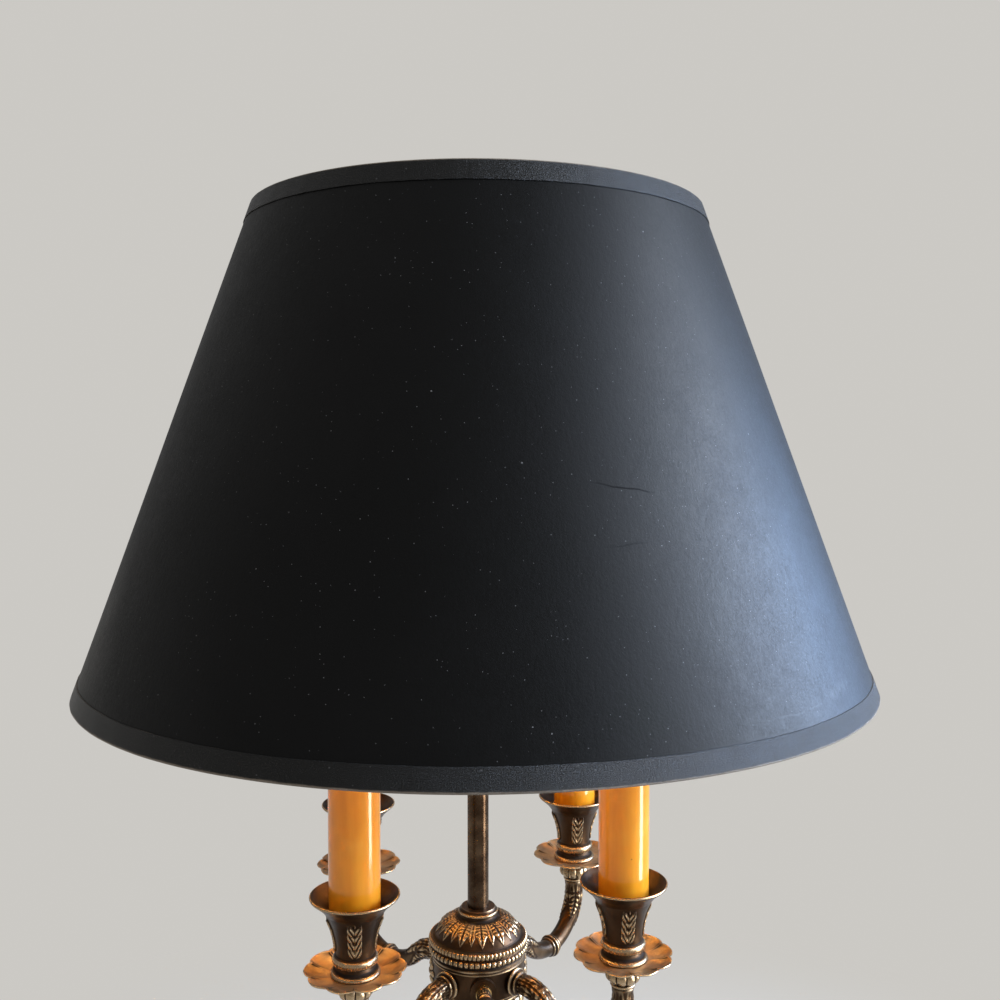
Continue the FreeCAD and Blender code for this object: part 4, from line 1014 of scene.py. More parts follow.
def make_pan(place_name):
    node = f"drip_pan_{place_name}"
    low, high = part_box(node)
    edge = 21.5
    base = low.z / MM
    top = (high.z - low.z) / MM
    profile = outline(*[[(r, base + z) for r, z in run] for run in (
        [(5.05, 0), (10.4, 0)],
        [(10.4, 0), (13.5, 0.35), (17.5, 1.15), (edge - 0.2, top - 0.8)],
        [(edge - 0.2, top - 0.8), (edge, top - 0.35), (edge - 0.25, top - 0.02)],
        [(edge - 0.25, top - 0.02), (17.4, 2.1), (13.2, 1.35), (10.2, 1.15)],
        [(10.2, 1.15), (5.05, 1.15)],
        [(5.05, 1.15), (5.05, 0)])], steps=14)
    columns = 400
    points = turned_points(profile, columns, closed=True)
    angle = np.linspace(0, TAU, columns, endpoint=False)[None, :]
    radius = np.hypot(points[..., 0], points[..., 1])
    outward = np.clip((radius / MM - 9.5) / (edge - 9.5), 0, 1)
    between = np.abs(np.cos(angle * PAN_LOBES / 2))
    notch = (1 - between ** 0.55) * outward ** 2.2
    tip = np.exp(-(spread(angle, PAN_LOBES) / 0.055) ** 2) * outward ** 5
    shrink = 1 - 0.085 * notch - 0.004 * (1 - tip) * outward ** 5
    lift = MM * (0.75 * notch - 0.25 * between * np.sin(np.pi * outward)) * (outward > 0)
    x, y = centre_of(node)
    made = np.stack([x + points[..., 0] * shrink, y + points[..., 1] * shrink,
                     np.minimum(points[..., 2] + lift, high.z)], -1)
    # The pan's paler bronze is partly painted lamp light.
    return grid_piece(f"pan_{place_name}", made, wiped_and_lamplit_pan_bronze, "dark_bronze", wrapped=(True, True), replaces=(node,))


for place_name in PLACES:
    pan = make_pan(place_name)
print("pans", len(pan.data.polygons), "faces each")

# %% [markdown]
# Most of the other metal is turned too, with more carving. A finer outline needs points where the carving
# is, so `traced` spaces them evenly along each run. An acanthus leaf is the plain leaf with lobes cut into
# its edge and slanting veins, and a ring is a half-round band that goes once round a form.

# %% Carving helpers


def traced(spacing, *runs):
    """Join runs of (radius, height) in millimetres with points about `spacing` apart. Corners are kept."""
    parts = []
    for run in runs:
        track = np.asarray(run, float)
        length = np.linalg.norm(np.diff(track, axis=0), axis=1).sum()
        count = max(2, int(np.ceil(length / spacing)))
        if len(run) == 2:
            parts.append(np.linspace(run[0], run[1], count + 1))
        else:
            parts.append(smooth_run(run, max(2, int(np.ceil(count / (len(run) - 1))))))
    joined = np.vstack([parts[0]] + [part[1:] for part in parts[1:]])
    if np.allclose(joined[0], joined[-1]):
        joined = joined[:-1]
    return joined * MM


def acanthus(across, along, width, length, lobes=4):
    """A leaf with a lobed edge: half width = width / 2 * sin(pi t ^ 0.7) * (0.8 + 0.2 |sin(lobes pi t)|). The
    back is rounded, with a rib down the middle and veins that run from it towards the tip."""
    t = np.clip(along / length, 0, 1)
    half = width / 2 * np.sin(np.pi * t ** 0.7) * (0.80 + 0.20 * np.abs(np.sin(lobes * np.pi * t))) + 1e-9
    inside = np.clip(1 - (across / half) ** 2, 0, 1)
    veins = 0.86 + 0.14 * np.cos(TAU * (lobes * t - 0.9 * np.abs(across) / width) * 1.6)
    rib = 1 - 0.5 * np.exp(-(across / (0.07 * width)) ** 2)
    return np.where((along > 0) & (along < length), inside ** 0.4 * veins * rib * (0.55 + 0.45 * t), 0)


def band(distance, half):
    """A half-round bump across a band: sqrt(1 - (distance / half) ^ 2)."""
    return np.sqrt(np.clip(1 - (distance / half) ** 2, 0, 1))


def levels(node):
    """The lowest and highest level of a CAD node, in millimetres."""
    low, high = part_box(node)
    return low.z / MM, high.z / MM


print("carving helpers ready, hub between", [round(value, 2) for value in levels("hub_body")], "mm")

# %% [markdown]
# A pipe or a wire is a circle carried along a line. At each point of the line a side direction, made square
# to it, and the direction square to both carry the circle. The ends close in a pole.

# %% Pipe helper


def carried(path, side, radius, columns, push=None):
    """Points path + (r + push) * (side cos a + third sin a), with one point for all columns at each end."""
    tangent = np.gradient(path, axis=0)
    tangent /= np.linalg.norm(tangent, axis=1, keepdims=True)
    side = np.broadcast_to(np.asarray(side, float), path.shape)
    side = side - np.sum(side * tangent, 1, keepdims=True) * tangent
    side = side / np.linalg.norm(side, axis=1, keepdims=True)
    third = np.cross(tangent, side)
    angle = np.linspace(0, TAU, columns, endpoint=False)
    reach = np.broadcast_to(np.asarray(radius, float).reshape(-1, 1), (len(path), columns))
    if push is not None:
        reach = reach + push
    circle = side[:, None] * np.cos(angle)[None, :, None] + third[:, None] * np.sin(angle)[None, :, None]
    points = path[:, None] + reach[..., None] * circle
    ends = [np.repeat(path[end][None, None], columns, 1) for end in (0, -1)]
    return np.concatenate([ends[0], points, ends[1]])


def pipe(name, path, side, radius, columns, material, slot, push=None, **more):
    return grid_piece(name, carried(path, side, radius, columns, push), material, slot, merge=True, **more)


print("pipe helper ready")

# %% [markdown]
# An arm is a tube that leaves the hub level, dips, and sweeps up until it stands upright under its candle.
# Its line is two straight runs and two arcs that touch, all in one upright plane. Along the tube the radius
# grows into a flange at the hub and a double ring halfway, and long leaves clasp it from both ends.

# %% Arms
ARM_HEIGHT = 252.0
ARM_RADIUS = 4.2
ARM_START = 16.0
DIP_RADIUS = 16.0
SWEEP_RADIUS = 24.0
ARM_TURN = math.radians(45)
CANDLE_REACH = math.hypot(*centre_of("candle_cover_front_right")) / MM
KNOB_HEIGHT = 11.0
HUB_RADIUS = 22.0


def arm_line(top):
    """Distance from the lamp's axis and height, in millimetres: level, an arc whose centre is below, an arc
    whose centre is above, and upright."""
    turned_out = (DIP_RADIUS + SWEEP_RADIUS) * math.sin(ARM_TURN)
    straight = CANDLE_REACH - SWEEP_RADIUS - turned_out
    dip = np.linspace(math.pi / 2, math.pi / 2 - ARM_TURN, 30)
    sweep = np.linspace(-math.pi / 2 - ARM_TURN, 0, 130)
    low_centre = (straight, ARM_HEIGHT - DIP_RADIUS)
    high_centre = (CANDLE_REACH - SWEEP_RADIUS, ARM_HEIGHT - DIP_RADIUS + turned_out)
    down = np.stack([low_centre[0] + DIP_RADIUS * np.cos(dip), low_centre[1] + DIP_RADIUS * np.sin(dip)], 1)
    up = np.stack([high_centre[0] + SWEEP_RADIUS * np.cos(sweep), high_centre[1] + SWEEP_RADIUS * np.sin(sweep)], 1)
    level = np.linspace((ARM_START, ARM_HEIGHT), (straight, ARM_HEIGHT), 34)[:-1]
    upright = np.linspace(up[-1], (CANDLE_REACH, top), 12)[1:]
    return np.vstack([level, down, up[1:], upright])


def make_arm(place_name):
    x, y = centre_of(f"candle_cover_{place_name}")
    top = levels(f"arm_{place_name}")[1]
    line = arm_line(top - 1)
    outward = np.array([x, y]) / math.hypot(x, y)
    path = np.stack([line[:, 0] * outward[0], line[:, 0] * outward[1], line[:, 1]], 1)
    steps = np.linalg.norm(np.diff(line, axis=0), axis=1)
    along = np.concatenate([[0], np.cumsum(steps)])[:, None]
    columns = 72
    angle = np.linspace(0, TAU, columns, endpoint=False)[None, :]
    root = HUB_RADIUS - ARM_START
    knob = along[-1, 0] + 1 - KNOB_HEIGHT
    middle = (root + knob) / 2
    push = 2.3 * band(along - root - 0.9, 1.1) + 1.1 * band(along - root - 3.1, 0.9)
    push = push + 1.5 * band(along - middle, 1.2)
    push = push + 0.8 * (band(along - middle - 2.1, 0.8) + band(along - middle + 2.1, 0.8))
    push = push + 0.9 * band(along - knob + 1.2, 0.9)
    across = spread(angle, 4, TAU / 8) * ARM_RADIUS
    between = spread(angle, 4) * ARM_RADIUS
    push = push + 1.0 * acanthus(across, along - root - 3.6, 6.6, 21.0, 5)
    push = push + 0.6 * acanthus(between, along - root - 3.6, 4.2, 12.0, 3)
    push = push + 1.0 * acanthus(across, knob - 1.8 - along, 6.6, 21.0, 5)
    push = push + 0.6 * acanthus(between, knob - 1.8 - along, 4.2, 12.0, 3)
    square = (-outward[1], outward[0], 0.0)
    return pipe(f"arm_tube_{place_name}", path * MM, square, ARM_RADIUS * MM, columns, dark_bronze, "dark_bronze",
                push * MM, replaces=(f"arm_{place_name}",))


def make_knob(place_name):
    """The knob under a drip pan, with ten gadroons that swell on its belly."""
    top = levels(f"arm_{place_name}")[1]
    base = top - KNOB_HEIGHT
    profile = traced(0.4, *[[(r, base + z) for r, z in run] for run in (
        [(3.6, 0), (4.7, 0)],
        [(4.7, 0), (5.5, 0.6), (5.5, 1.1), (4.8, 1.7)],
        [(4.8, 1.7), (6.6, 2.9), (7.4, 5.0), (6.7, 7.2), (5.0, 8.7)],
        [(5.0, 8.7), (5.7, 9.2), (6.3, 9.9), (6.3, 10.6), (6.1, KNOB_HEIGHT)],
        [(6.1, KNOB_HEIGHT), (3.6, KNOB_HEIGHT)],
        [(3.6, KNOB_HEIGHT), (3.6, 0)])])

    def gadroons(angle, height, radius):
        belly = np.clip(1 - ((height / MM - base - 5.1) / 3.4) ** 2, 0, 1) ** 0.6
        return MM * 0.75 * (np.abs(np.cos(5 * angle)) ** 0.7 - 0.6) * belly

    return turned(f"arm_knob_{place_name}", profile, 160, dark_bronze, "dark_bronze",
                  centre_of(f"candle_cover_{place_name}"), gadroons, replaces=(f"arm_{place_name}",))


for place_name in PLACES:
    arm = make_arm(place_name)
    knob = make_knob(place_name)
print("arms", len(arm.data.polygons), "faces each, knobs", len(knob.data.polygons))

# %% [markdown]
# The hub is the drum that holds the arms. Gadroons swell round its foot, a string of pearls lies under its
# lip, and rosettes fill the three sides between the arms where the switch isn't. A rosette is a height field
# too: petals are made by letting the edge's distance from the middle change with the angle.

# %% Hub and its cap
SWITCH_SIDE = -math.pi / 2


def rosette(across, up, size):
    """Eight petals and a boss: petal edge = size * (0.66 + 0.34 |cos(4 angle)|), with a groove between them."""
    reach = np.hypot(across, up)
    turn_angle = np.arctan2(up, across)
    edge = size * (0.66 + 0.34 * np.abs(np.cos(4 * turn_angle)) ** 0.6)
    petal = np.sqrt(np.clip(1 - (reach / edge) ** 2, 0, 1)) * (0.55 + 0.45 * np.abs(np.cos(4 * turn_angle)))
    dish = 1 - 0.55 * np.exp(-((reach - 0.34 * size) / (0.10 * size)) ** 2)
    boss = 1.05 * np.sqrt(np.clip(1 - (reach / (0.24 * size)) ** 2, 0, 1))
    return np.maximum(petal * dish, boss)


def make_hub():
    low, high = levels("hub_body")
    profile = traced(0.34, [(5.1, low), (19.4, low)],
                     [(19.4, low), (21.2, low + 0.5), (22.2, low + 1.9), (22.1, low + 3.6), (21.4, low + 5.2)],
                     [(21.4, low + 5.2), (HUB_RADIUS, low + 5.8)],
                     [(HUB_RADIUS, low + 5.8), (HUB_RADIUS, high - 5.6)],
                     [(HUB_RADIUS, high - 5.6), (21.5, high - 5.0), (21.5, high - 4.5)],
                     [(21.5, high - 4.5), (22.4, high - 3.9), (22.9, high - 2.5), (22.4, high - 1.1), (21.9, high - 0.5)],
                     [(21.9, high - 0.5), (21.9, high)],
                     [(21.9, high), (19.0, high)], [(19.0, high), (19.0, low + 3)], [(19.0, low + 3), (5.1, low + 3)],
                     [(5.1, low + 3), (5.1, low)])
    middle = (low + high) / 2

    def carving(angle, height, radius):
        rise = height / MM
        outside = radius > 20.5 * MM
        lobes = 0.8 * (np.abs(np.cos(14 * angle)) ** 0.6 - 0.5) * band(rise - low - 2.6, 2.9)
        pearls = 0.75 * band(spread(angle, 56) * radius / MM, 1.2) * band(rise - high + 2.5, 1.25)
        fine = -0.35 * (np.exp(-((rise - low - 7.2) / 0.3) ** 2) + np.exp(-((rise - high + 7.0) / 0.3) ** 2))
        around = spread(angle, 4)
        side = np.abs(spread(angle, 1, SWITCH_SIDE)) > math.radians(50)
        flowers = 1.5 * rosette(around * radius / MM, rise - middle, 6.2) * side
        return MM * (lobes + pearls + fine + flowers) * outside

    return turned("hub_drum", profile, 504, dark_bronze, "dark_bronze", relief=carving, replaces=("hub_body",))


def make_cap():
    low, high = levels("hub_cap")
    seat = levels("hub_body")[1]
    profile = traced(0.34, [(5.1, low), (18.9, low)], [(18.9, low), (18.9, seat)], [(18.9, seat), (22.3, seat)],
                     [(22.3, seat), (22.9, seat + 0.7), (22.9, seat + 1.7), (22.2, seat + 2.5)],
                     [(22.2, seat + 2.5), (20.6, seat + 2.9), (20.2, seat + 3.4)],
                     [(20.2, seat + 3.4), (18.4, seat + 6.6), (14.6, seat + 9.7), (11.2, seat + 11.0)],
                     [(11.2, seat + 11.0), (9.0, seat + 11.6), (8.5, seat + 12.8)],
                     [(8.5, seat + 12.8), (9.3, seat + 13.5), (9.3, seat + 14.3), (8.5, seat + 15.0)],
                     [(8.5, seat + 15.0), (8.0, high)], [(8.0, high), (5.1, high)], [(5.1, high), (5.1, low)])

    def petals(angle, height, radius):
        dome = (radius < 20.3 * MM) & (height > (seat + 3) * MM)
        out_from_neck = radius / MM - 10.6
        wide = acanthus(spread(angle, 12) * radius / MM, out_from_neck, 8.6, 9.4, 4)
        behind = leaf(spread(angle, 12, TAU / 24) * radius / MM, out_from_neck, 5.2, 9.0)
        beads = 0.5 * band(spread(angle, 72) * radius / MM, 0.85) * (np.abs(height / MM - seat - 1.25) < 1.1)
        return MM * (np.maximum(0.95 * wide, 0.5 * behind) * dome + beads * (radius > 21 * MM))

    return turned("hub_dome", profile, 576, dark_bronze, "dark_bronze", relief=petals, replaces=("hub_cap",))


hub = make_hub()
cap = make_cap()
print("hub", len(hub.data.polygons), "faces, cap", len(cap.data.polygons))

# %% [markdown]
# The column stands on a foot with a ring of leaves. Its shaft has twelve flutes, which end round, and their
# lower third is filled with a rod each. A flute is the space that a round cutter leaves: inside the cutter's
# radius the surface drops by the height of the circle, and past the flute's end the distance is measured
# from the end's middle, which makes the end round. The capital is a bell with two rows of leaves.

# %% Column
FLUTES = 12
CUTTER = 1.9
CUTTER_OUT = CUTTER / 3
RODS_UP_TO = 0.30


def make_foot():
    low, high = levels("column_foot")
    profile = traced(0.4, [(5.1, low), (22.2, low)],
                     [(22.2, low), (23.3, low + 0.5), (23.6, low + 1.6), (23.3, low + 2.8), (22.0, low + 3.3)],
                     [(22.0, low + 3.3), (21.1, low + 3.6), (21.0, low + 4.6)],
                     [(21.0, low + 4.6), (18.2, low + 8.6), (15.9, low + 13.6), (14.2, low + 18.6), (13.0, low + 22.0)],
                     [(13.0, low + 22.0), (14.4, low + 22.7), (15.1, low + 24.2), (14.4, low + 25.7), (13.2, low + 26.4)],
                     [(13.2, low + 26.4), (12.9, high)], [(12.9, high), (5.1, high)], [(5.1, high), (5.1, low)])

    def leaves(angle, height, radius):
        rise = height / MM - low
        big = acanthus(spread(angle, 10) * radius / MM, rise - 4.6, 12.4, 16.6, 5)
        small = acanthus(spread(angle, 10, TAU / 20) * radius / MM, rise - 4.6, 7.0, 11.0, 4)
        slant = np.abs(np.sin(angle * 26 + (rise - 1.6) * 1.1)) * band(rise - 1.65, 1.5)
        pearls = band(spread(angle, 34) * radius / MM, 1.3) * band(rise - 24.2, 1.5)
        return MM * (1.35 * big + 0.7 * small * (big < 0.05) + 0.55 * slant + 0.6 * pearls) * (radius > 12 * MM)

    return turned("foot_of_column", profile, 480, dark_bronze, "dark_bronze", relief=leaves, replaces=("column_foot",))


def make_shaft():
    low, high = levels("column_shaft")
    edge = 5.0
    fine_low = [(12.9, low), (13.2, low + 0.9), (12.9, low + 1.8)]
    profile = np.vstack([
        traced(1.0, [(5.1, low), (12.9, low)])[:-1], traced(0.4, fine_low, [(12.9, low + 1.8), (12.0, low + 2.6)],
                                                            [(12.0, low + 2.6), (12.0, low + edge + 3)])[:-1],
        traced(2.4, [(12.0, low + edge + 3), (12.0, high - edge - 3)])[:-1],
        traced(0.4, [(12.0, high - edge - 3), (12.0, high - 1.6)], [(12.0, high - 1.6), (12.6, high)])[:-1],
        traced(1.0, [(12.6, high), (5.1, high)])[:-1], traced(8.0, [(5.1, high), (5.1, low)])[:-1]])
    rods_end = low + (high - low) * RODS_UP_TO

    def flutes(angle, height, radius):
        rise = height / MM
        across = spread(angle, FLUTES) * 12.0
        past = np.maximum(np.maximum(low + edge + CUTTER - rise, rise - high + edge + CUTTER), 0)
        distance = np.hypot(across, past)
        depth = np.maximum(np.sqrt(np.clip(CUTTER ** 2 - distance ** 2, 0, None)) - CUTTER_OUT, 0)
        beyond = np.maximum(np.maximum(low + edge + 2 * CUTTER - rise, rise - rods_end), 0)
        rod = 1.15 * band(np.hypot(across, beyond), 1.15)
        return -MM * np.maximum(depth - rod, -0.1) * (radius > 11 * MM)

    return turned("fluted_shaft", profile, 384, dark_bronze, "dark_bronze", relief=flutes, sharp=30,
                  replaces=("column_shaft",))


def make_capital():
    low, high = levels("column_capital")
    profile = traced(0.4, [(5.1, low), (12.7, low)],
                     [(12.7, low), (13.0, low + 1.2), (14.6, low + 2.0), (15.1, low + 3.5), (14.4, low + 5.0)],
                     [(14.4, low + 5.0), (11.2, low + 6.2), (10.2, low + 7.8)],
                     [(10.2, low + 7.8), (10.1, low + 12.7), (11.3, low + 20.5), (14.3, low + 28.6), (17.6, low + 33.6)],
                     [(17.6, low + 33.6), (18.2, low + 34.4), (19.0, low + 34.9)],
                     [(19.0, low + 34.9), (19.0, high - 0.5)], [(19.0, high - 0.5), (18.6, high)],
                     [(18.6, high), (5.1, high)], [(5.1, high), (5.1, low)])

    def leaves(angle, height, radius):
        rise = height / MM - low
        curl = 1 + 0.9 * np.clip((rise - 16) / 14, 0, 1) ** 2
        tall = acanthus(spread(angle, 8) * radius / MM, rise - 7.6, 8.4 + 0.15 * rise, 24.0, 5) * curl
        short = acanthus(spread(angle, 8, TAU / 16) * radius / MM, rise - 7.6, 8.6, 14.0, 4) * 1.25
        pearls = band(spread(angle, 32) * radius / MM, 1.3) * band(rise - 3.5, 1.5)
        dart = 0.45 * np.abs(np.cos(24 * angle)) * (rise > 35) * (radius > 18.5 * MM) * band(rise - 36.4, 1.2)
        return MM * (np.maximum(1.55 * tall, 1.35 * short) + 0.6 * pearls + dart) * (radius > 9.5 * MM)

    return turned("leaf_capital", profile, 480, dark_bronze, "dark_bronze", relief=leaves,
                  replaces=("column_capital",))


for made in (make_foot(), make_shaft(), make_capital()):
    print(made.name, len(made.data.polygons), "faces")

# %% [markdown]
# The base is a cast dish. Reeds bound with ribbons go round its foot, water leaves stand round the cove, and
# a string of pearls, which is a piece of its own, lies along the rim. The dish's floor has turned rings and
# a wreath of leaves round the plinth. Underneath, a recess holds the iron weight.

# %% Base
WATER_LEAVES = 48
RIM_PEARLS = 120


def make_base():
    low, high = levels("base_dish")
    recess = (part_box("base_weight")[1].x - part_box("base_weight")[0].x) / 2 / MM + 0.3
    ceiling = levels("base_weight")[1]
    floor_level = low + 13.0
    coarse_floor = [(84.0, floor_level), (52.0, floor_level)]
    profile = np.vstack([
        traced(4.0, [(recess, low), (93.6, low)])[:-1],
        traced(0.5, [(93.6, low), (94.8, low + 0.5), (95.0, low + 1.4)], [(95.0, low + 1.4), (95.0, low + 2.8)],
               [(95.0, low + 2.8), (94.2, low + 3.2)],
               [(94.2, low + 3.2), (95.1, low + 4.2), (95.4, low + 6.4), (95.1, low + 8.6), (94.2, low + 9.6)],
               [(94.2, low + 9.6), (92.2, low + 10.4), (90.4, low + 12.2), (90.0, low + 13.6)],
               [(90.0, low + 13.6), (90.5, low + 16.0), (92.2, low + 19.2), (95.0, low + 21.8)],
               [(95.0, low + 21.8), (96.4, low + 22.2), (97.0, low + 23.2), (96.6, high - 0.2), (95.6, high)],
               [(95.6, high), (93.4, high)], [(93.4, high), (92.2, high - 0.6), (91.4, high - 2.4)])[:-1],
        traced(1.2, [(91.4, high - 2.4), (89.2, high - 8.4), (87.2, floor_level + 0.7), (84.0, floor_level)])[:-1],
        traced(1.0, coarse_floor)[:-1],
        traced(0.5, [(52.0, floor_level), (34.4, floor_level)], [(34.4, floor_level), (34.2, floor_level + 0.8)],
               [(34.2, floor_level + 0.8), (34.4, floor_level + 2.0), (33.9, floor_level + 3.6), (32.4, floor_level + 5.0)],
               [(32.4, floor_level + 5.0), (31.6, floor_level + 5.5)])[:-1],
        traced(2.0, [(31.6, floor_level + 5.5), (5.1, floor_level + 5.5)])[:-1],
        traced(4.0, [(5.1, floor_level + 5.5), (5.1, ceiling)])[:-1],
        traced(6.0, [(5.1, ceiling), (recess, ceiling)])[:-1],
        traced(4.0, [(recess, ceiling), (recess, low)])[:-1]])

    def carving(angle, height, radius):
        rise = height / MM - low
        reach = radius / MM
        outside = reach > 89
        belt = np.abs(rise - 6.4) < 3.3
        reeds = 0.55 * (np.abs(np.cos(np.pi * (rise - 6.4) / 2.2)) - 0.4) * belt
        tie = spread(angle, 16) * reach
        cross = np.minimum(np.abs(tie - (rise - 6.4) * 1.1), np.abs(tie + (rise - 6.4) * 1.1))
        reeds = np.where((cross < 1.3) & belt, 0.75 * band(cross, 1.8), reeds)
        water = acanthus(spread(angle, WATER_LEAVES) * reach, rise - 12.8, 11.4, 9.4, 3)
        tips = leaf(spread(angle, WATER_LEAVES, TAU / WATER_LEAVES / 2) * reach, rise - 14.0, 4.6, 8.0)
        wall_part = (rise > 12.8) & (rise < 22.2)
        on_floor = (reach < 86) & (reach > 34.5) & (height > (low + 12.5) * MM)
        rings = sum(np.exp(-((reach - place_at) / 0.42) ** 2) for place_at in (82.5, 80.6, 54.5, 53.0))
        wreath = acanthus(spread(angle, 24) * reach, reach - 35.2, 9.6, 14.5, 4)
        edge = 0.5 * (np.abs(np.cos(30 * angle)) - 0.5) * band(reach - 33.4, 1.4) * (rise > 14) * (rise < 19)
        return MM * ((reeds + (1.0 * water + 0.7 * tips * (water < 0.05)) * wall_part) * outside
                     + (0.9 * wreath - 0.45 * rings) * on_floor + edge)

    return turned("dished_base", profile, 720, dark_bronze, "dark_bronze", relief=carving, replaces=("base_dish",))


def make_pearls():
    """A ring whose thickness swells into pearls: r = 0.8 + 1.1 sqrt(1 - u ^ 2), with u from -1 to 1 per pearl."""
    high = levels("base_dish")[1]
    columns = RIM_PEARLS * 8
    angle = np.linspace(0, TAU, columns, endpoint=False)
    share = spread(angle, RIM_PEARLS) / (TAU / RIM_PEARLS) * 2
    thick = (0.55 + 1.5 * np.sqrt(np.clip(1 - share ** 2, 0, 1)))[:, None]
    around = np.linspace(0, TAU, 14, endpoint=False)[None, :]
    reach = 94.6 + thick * np.cos(around)
    points = np.stack([reach * np.cos(angle)[:, None], reach * np.sin(angle)[:, None],
                       high - 0.4 + thick * np.sin(around)], -1) * MM
    return grid_piece("rim_pearls", points, dark_bronze, "dark_bronze", wrapped=(True, True))


base = make_base()
pearls = make_pearls()
print("base", len(base.data.polygons), "faces, pearls", len(pearls.data.polygons))

# %% [markdown]
# The rod is drawn bar, and its finial is a turned ball on a small neck. The slip collar is plain and keeps
# its CAD shape, but its ring nut is knurled so that fingers can turn it: the knurl is the sum of two sets of
# slanted waves.

# %% Rod, finial and ring nut
rod_low, rod_high = levels("centre_rod")
finial_low, finial_high = levels("rod_finial")
rod = turned("drawn_rod", outline([(0, rod_low), (4.6, rod_low)], [(4.6, rod_low), (5.0, rod_low + 0.5)],
                                  [(5.0, rod_low + 0.5), (5.0, finial_low - 0.3)],
                                  [(5.0, finial_low - 0.3), (4.7, finial_low)], [(4.7, finial_low), (0, finial_low)]),
             96, rod_bronze, "dark_bronze", closed=False, replaces=("centre_rod",))
finial = turned("ball_finial", outline([(0, finial_low), (4.9, finial_low)],
                                       [(4.9, finial_low), (6.0, finial_low + 0.6), (6.0, finial_low + 1.2),
                                        (4.8, finial_low + 1.9), (4.3, finial_low + 2.9)],
                                       [(4.3, finial_low + 2.9), (6.0, finial_high - 9.0), (6.5, finial_high - 6.5),
                                        (5.7, finial_high - 3.2), (3.4, finial_high - 0.9), (1.2, finial_high - 0.06),
                                        (0, finial_high)], steps=8),
                96, rod_bronze, "dark_bronze", closed=False, replaces=("rod_finial",))


def make_ring_nut():
    low, high = levels("collar_nut")
    profile = traced(0.3, [(8.1, low), (11.3, low)], [(11.3, low), (11.9, low + 0.5)],
                     [(11.9, low + 0.5), (11.9, high - 0.5)], [(11.9, high - 0.5), (11.3, high)],
                     [(11.3, high), (8.1, high)], [(8.1, high), (8.1, low)])

    def knurl(angle, height, radius):
        ridges = np.abs(np.sin(36 * angle + 900 * height)) + np.abs(np.sin(36 * angle - 900 * height))
        return 0.16 * MM * (ridges - 1) * (radius > 11.4 * MM)

    return turned("knurled_nut", profile, 432, dark_bronze, "dark_bronze", relief=knurl, sharp=25, body="collar",
                  replaces=("collar_nut",))


nut = make_ring_nut()
print("ring nut", len(nut.data.polygons), "faces")

# %% [markdown]
# The thumbscrew and the switch key are turned at the root and pressed flat at the tip. One grid makes both:
# every section is an ellipse, round along the shank and wide and thin in the grip, and the half sizes pass
# smoothly from one to the other along the line that points to the front.

# %% Thumbscrew and switch key
GRIP = ((0.7, 3.2, 2.5), (1.5, 4.3, 1.5), (2.9, 6.0, 1.3), (4.2, 6.5, 1.2), (6.0, 6.1, 1.15), (7.6, 4.5, 1.05),
        (8.5, 2.6, 0.9), (8.9, 1.2, 0.6))


def make_grip(name, node, body, shank, grip_start, level, ridges):
    """Points (w cos a, -distance, level + h sin a). Rows are (distance, half width w, half height h)."""
    rows = list(shank) + [(grip_start + along, wide, tall) for along, wide, tall in GRIP]
    table = smooth_run(rows, 5)
    columns = 72
    angle = np.linspace(0, TAU, columns, endpoint=False)[None, :]
    along, wide, tall = (table[:, place_at][:, None] for place_at in range(3))
    notches = 1 + 0.05 * np.abs(np.sin(ridges * angle)) * (np.abs(wide - tall) < 0.15) * (wide > 3.0)
    points = np.stack([wide * notches * np.cos(angle), -along + 0 * angle, level + tall * notches * np.sin(angle)], -1)
    ends = [np.repeat(np.array([[[0.0, -place_at, level]]]), columns, 1) for place_at in (along[0, 0], along[-1, 0] + 0.1)]
    points = np.concatenate([ends[0], points, ends[1]]) * MM
    return grid_piece(name, points, dark_bronze, "dark_bronze", merge=True, body=body, replaces=(node,))


screw_low, screw_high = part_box("thumbscrew")
screw_level = (screw_low.z + screw_high.z) / 2 / MM
screw_tip, screw_end = -screw_high.y / MM, -screw_low.y / MM
grip_at = screw_end - 9.0
thumb = make_grip("thumb_grip", "thumbscrew", "thumbscrew",
                  [(screw_tip, 2.0, 2.0), (screw_tip + 0.4, 2.35, 2.35), (13.0, 2.35, 2.35), (13.6, 3.2, 3.2),
                   (14.3, 4.3, 4.3), (15.2, 4.4, 4.4)], grip_at, screw_level, 10)
key_low, key_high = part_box("switch_key")
key_start, key_end = -key_high.y / MM, -key_low.y / MM
key = make_grip("turn_key", "switch_key", "switch",
                [(key_start, 2.9, 2.9), (key_start + 0.4, 3.2, 3.2), (key_start + 1.6, 3.2, 3.2),
                 (key_start + 3.4, 3.1, 3.1)], key_end - 9.0, ARM_HEIGHT, 8)
print("grips end", round(screw_end, 1), "and", round(key_end, 1), "mm in front of the axis")

# %% [markdown]
# Each lamp is a blown glass flame. Its wall is one surface: down the inside from the tip, round the neck,
# and up the outside. A glass stem holds two lead wires, and between their ends the filament hangs in three
# arches. The filament is a fine coil: a helix laid round the line of the arches.

# %% Glass lamps and their filaments
GLASS_WALL = 0.8
ARCHES = 3
COIL_TURNS = 54


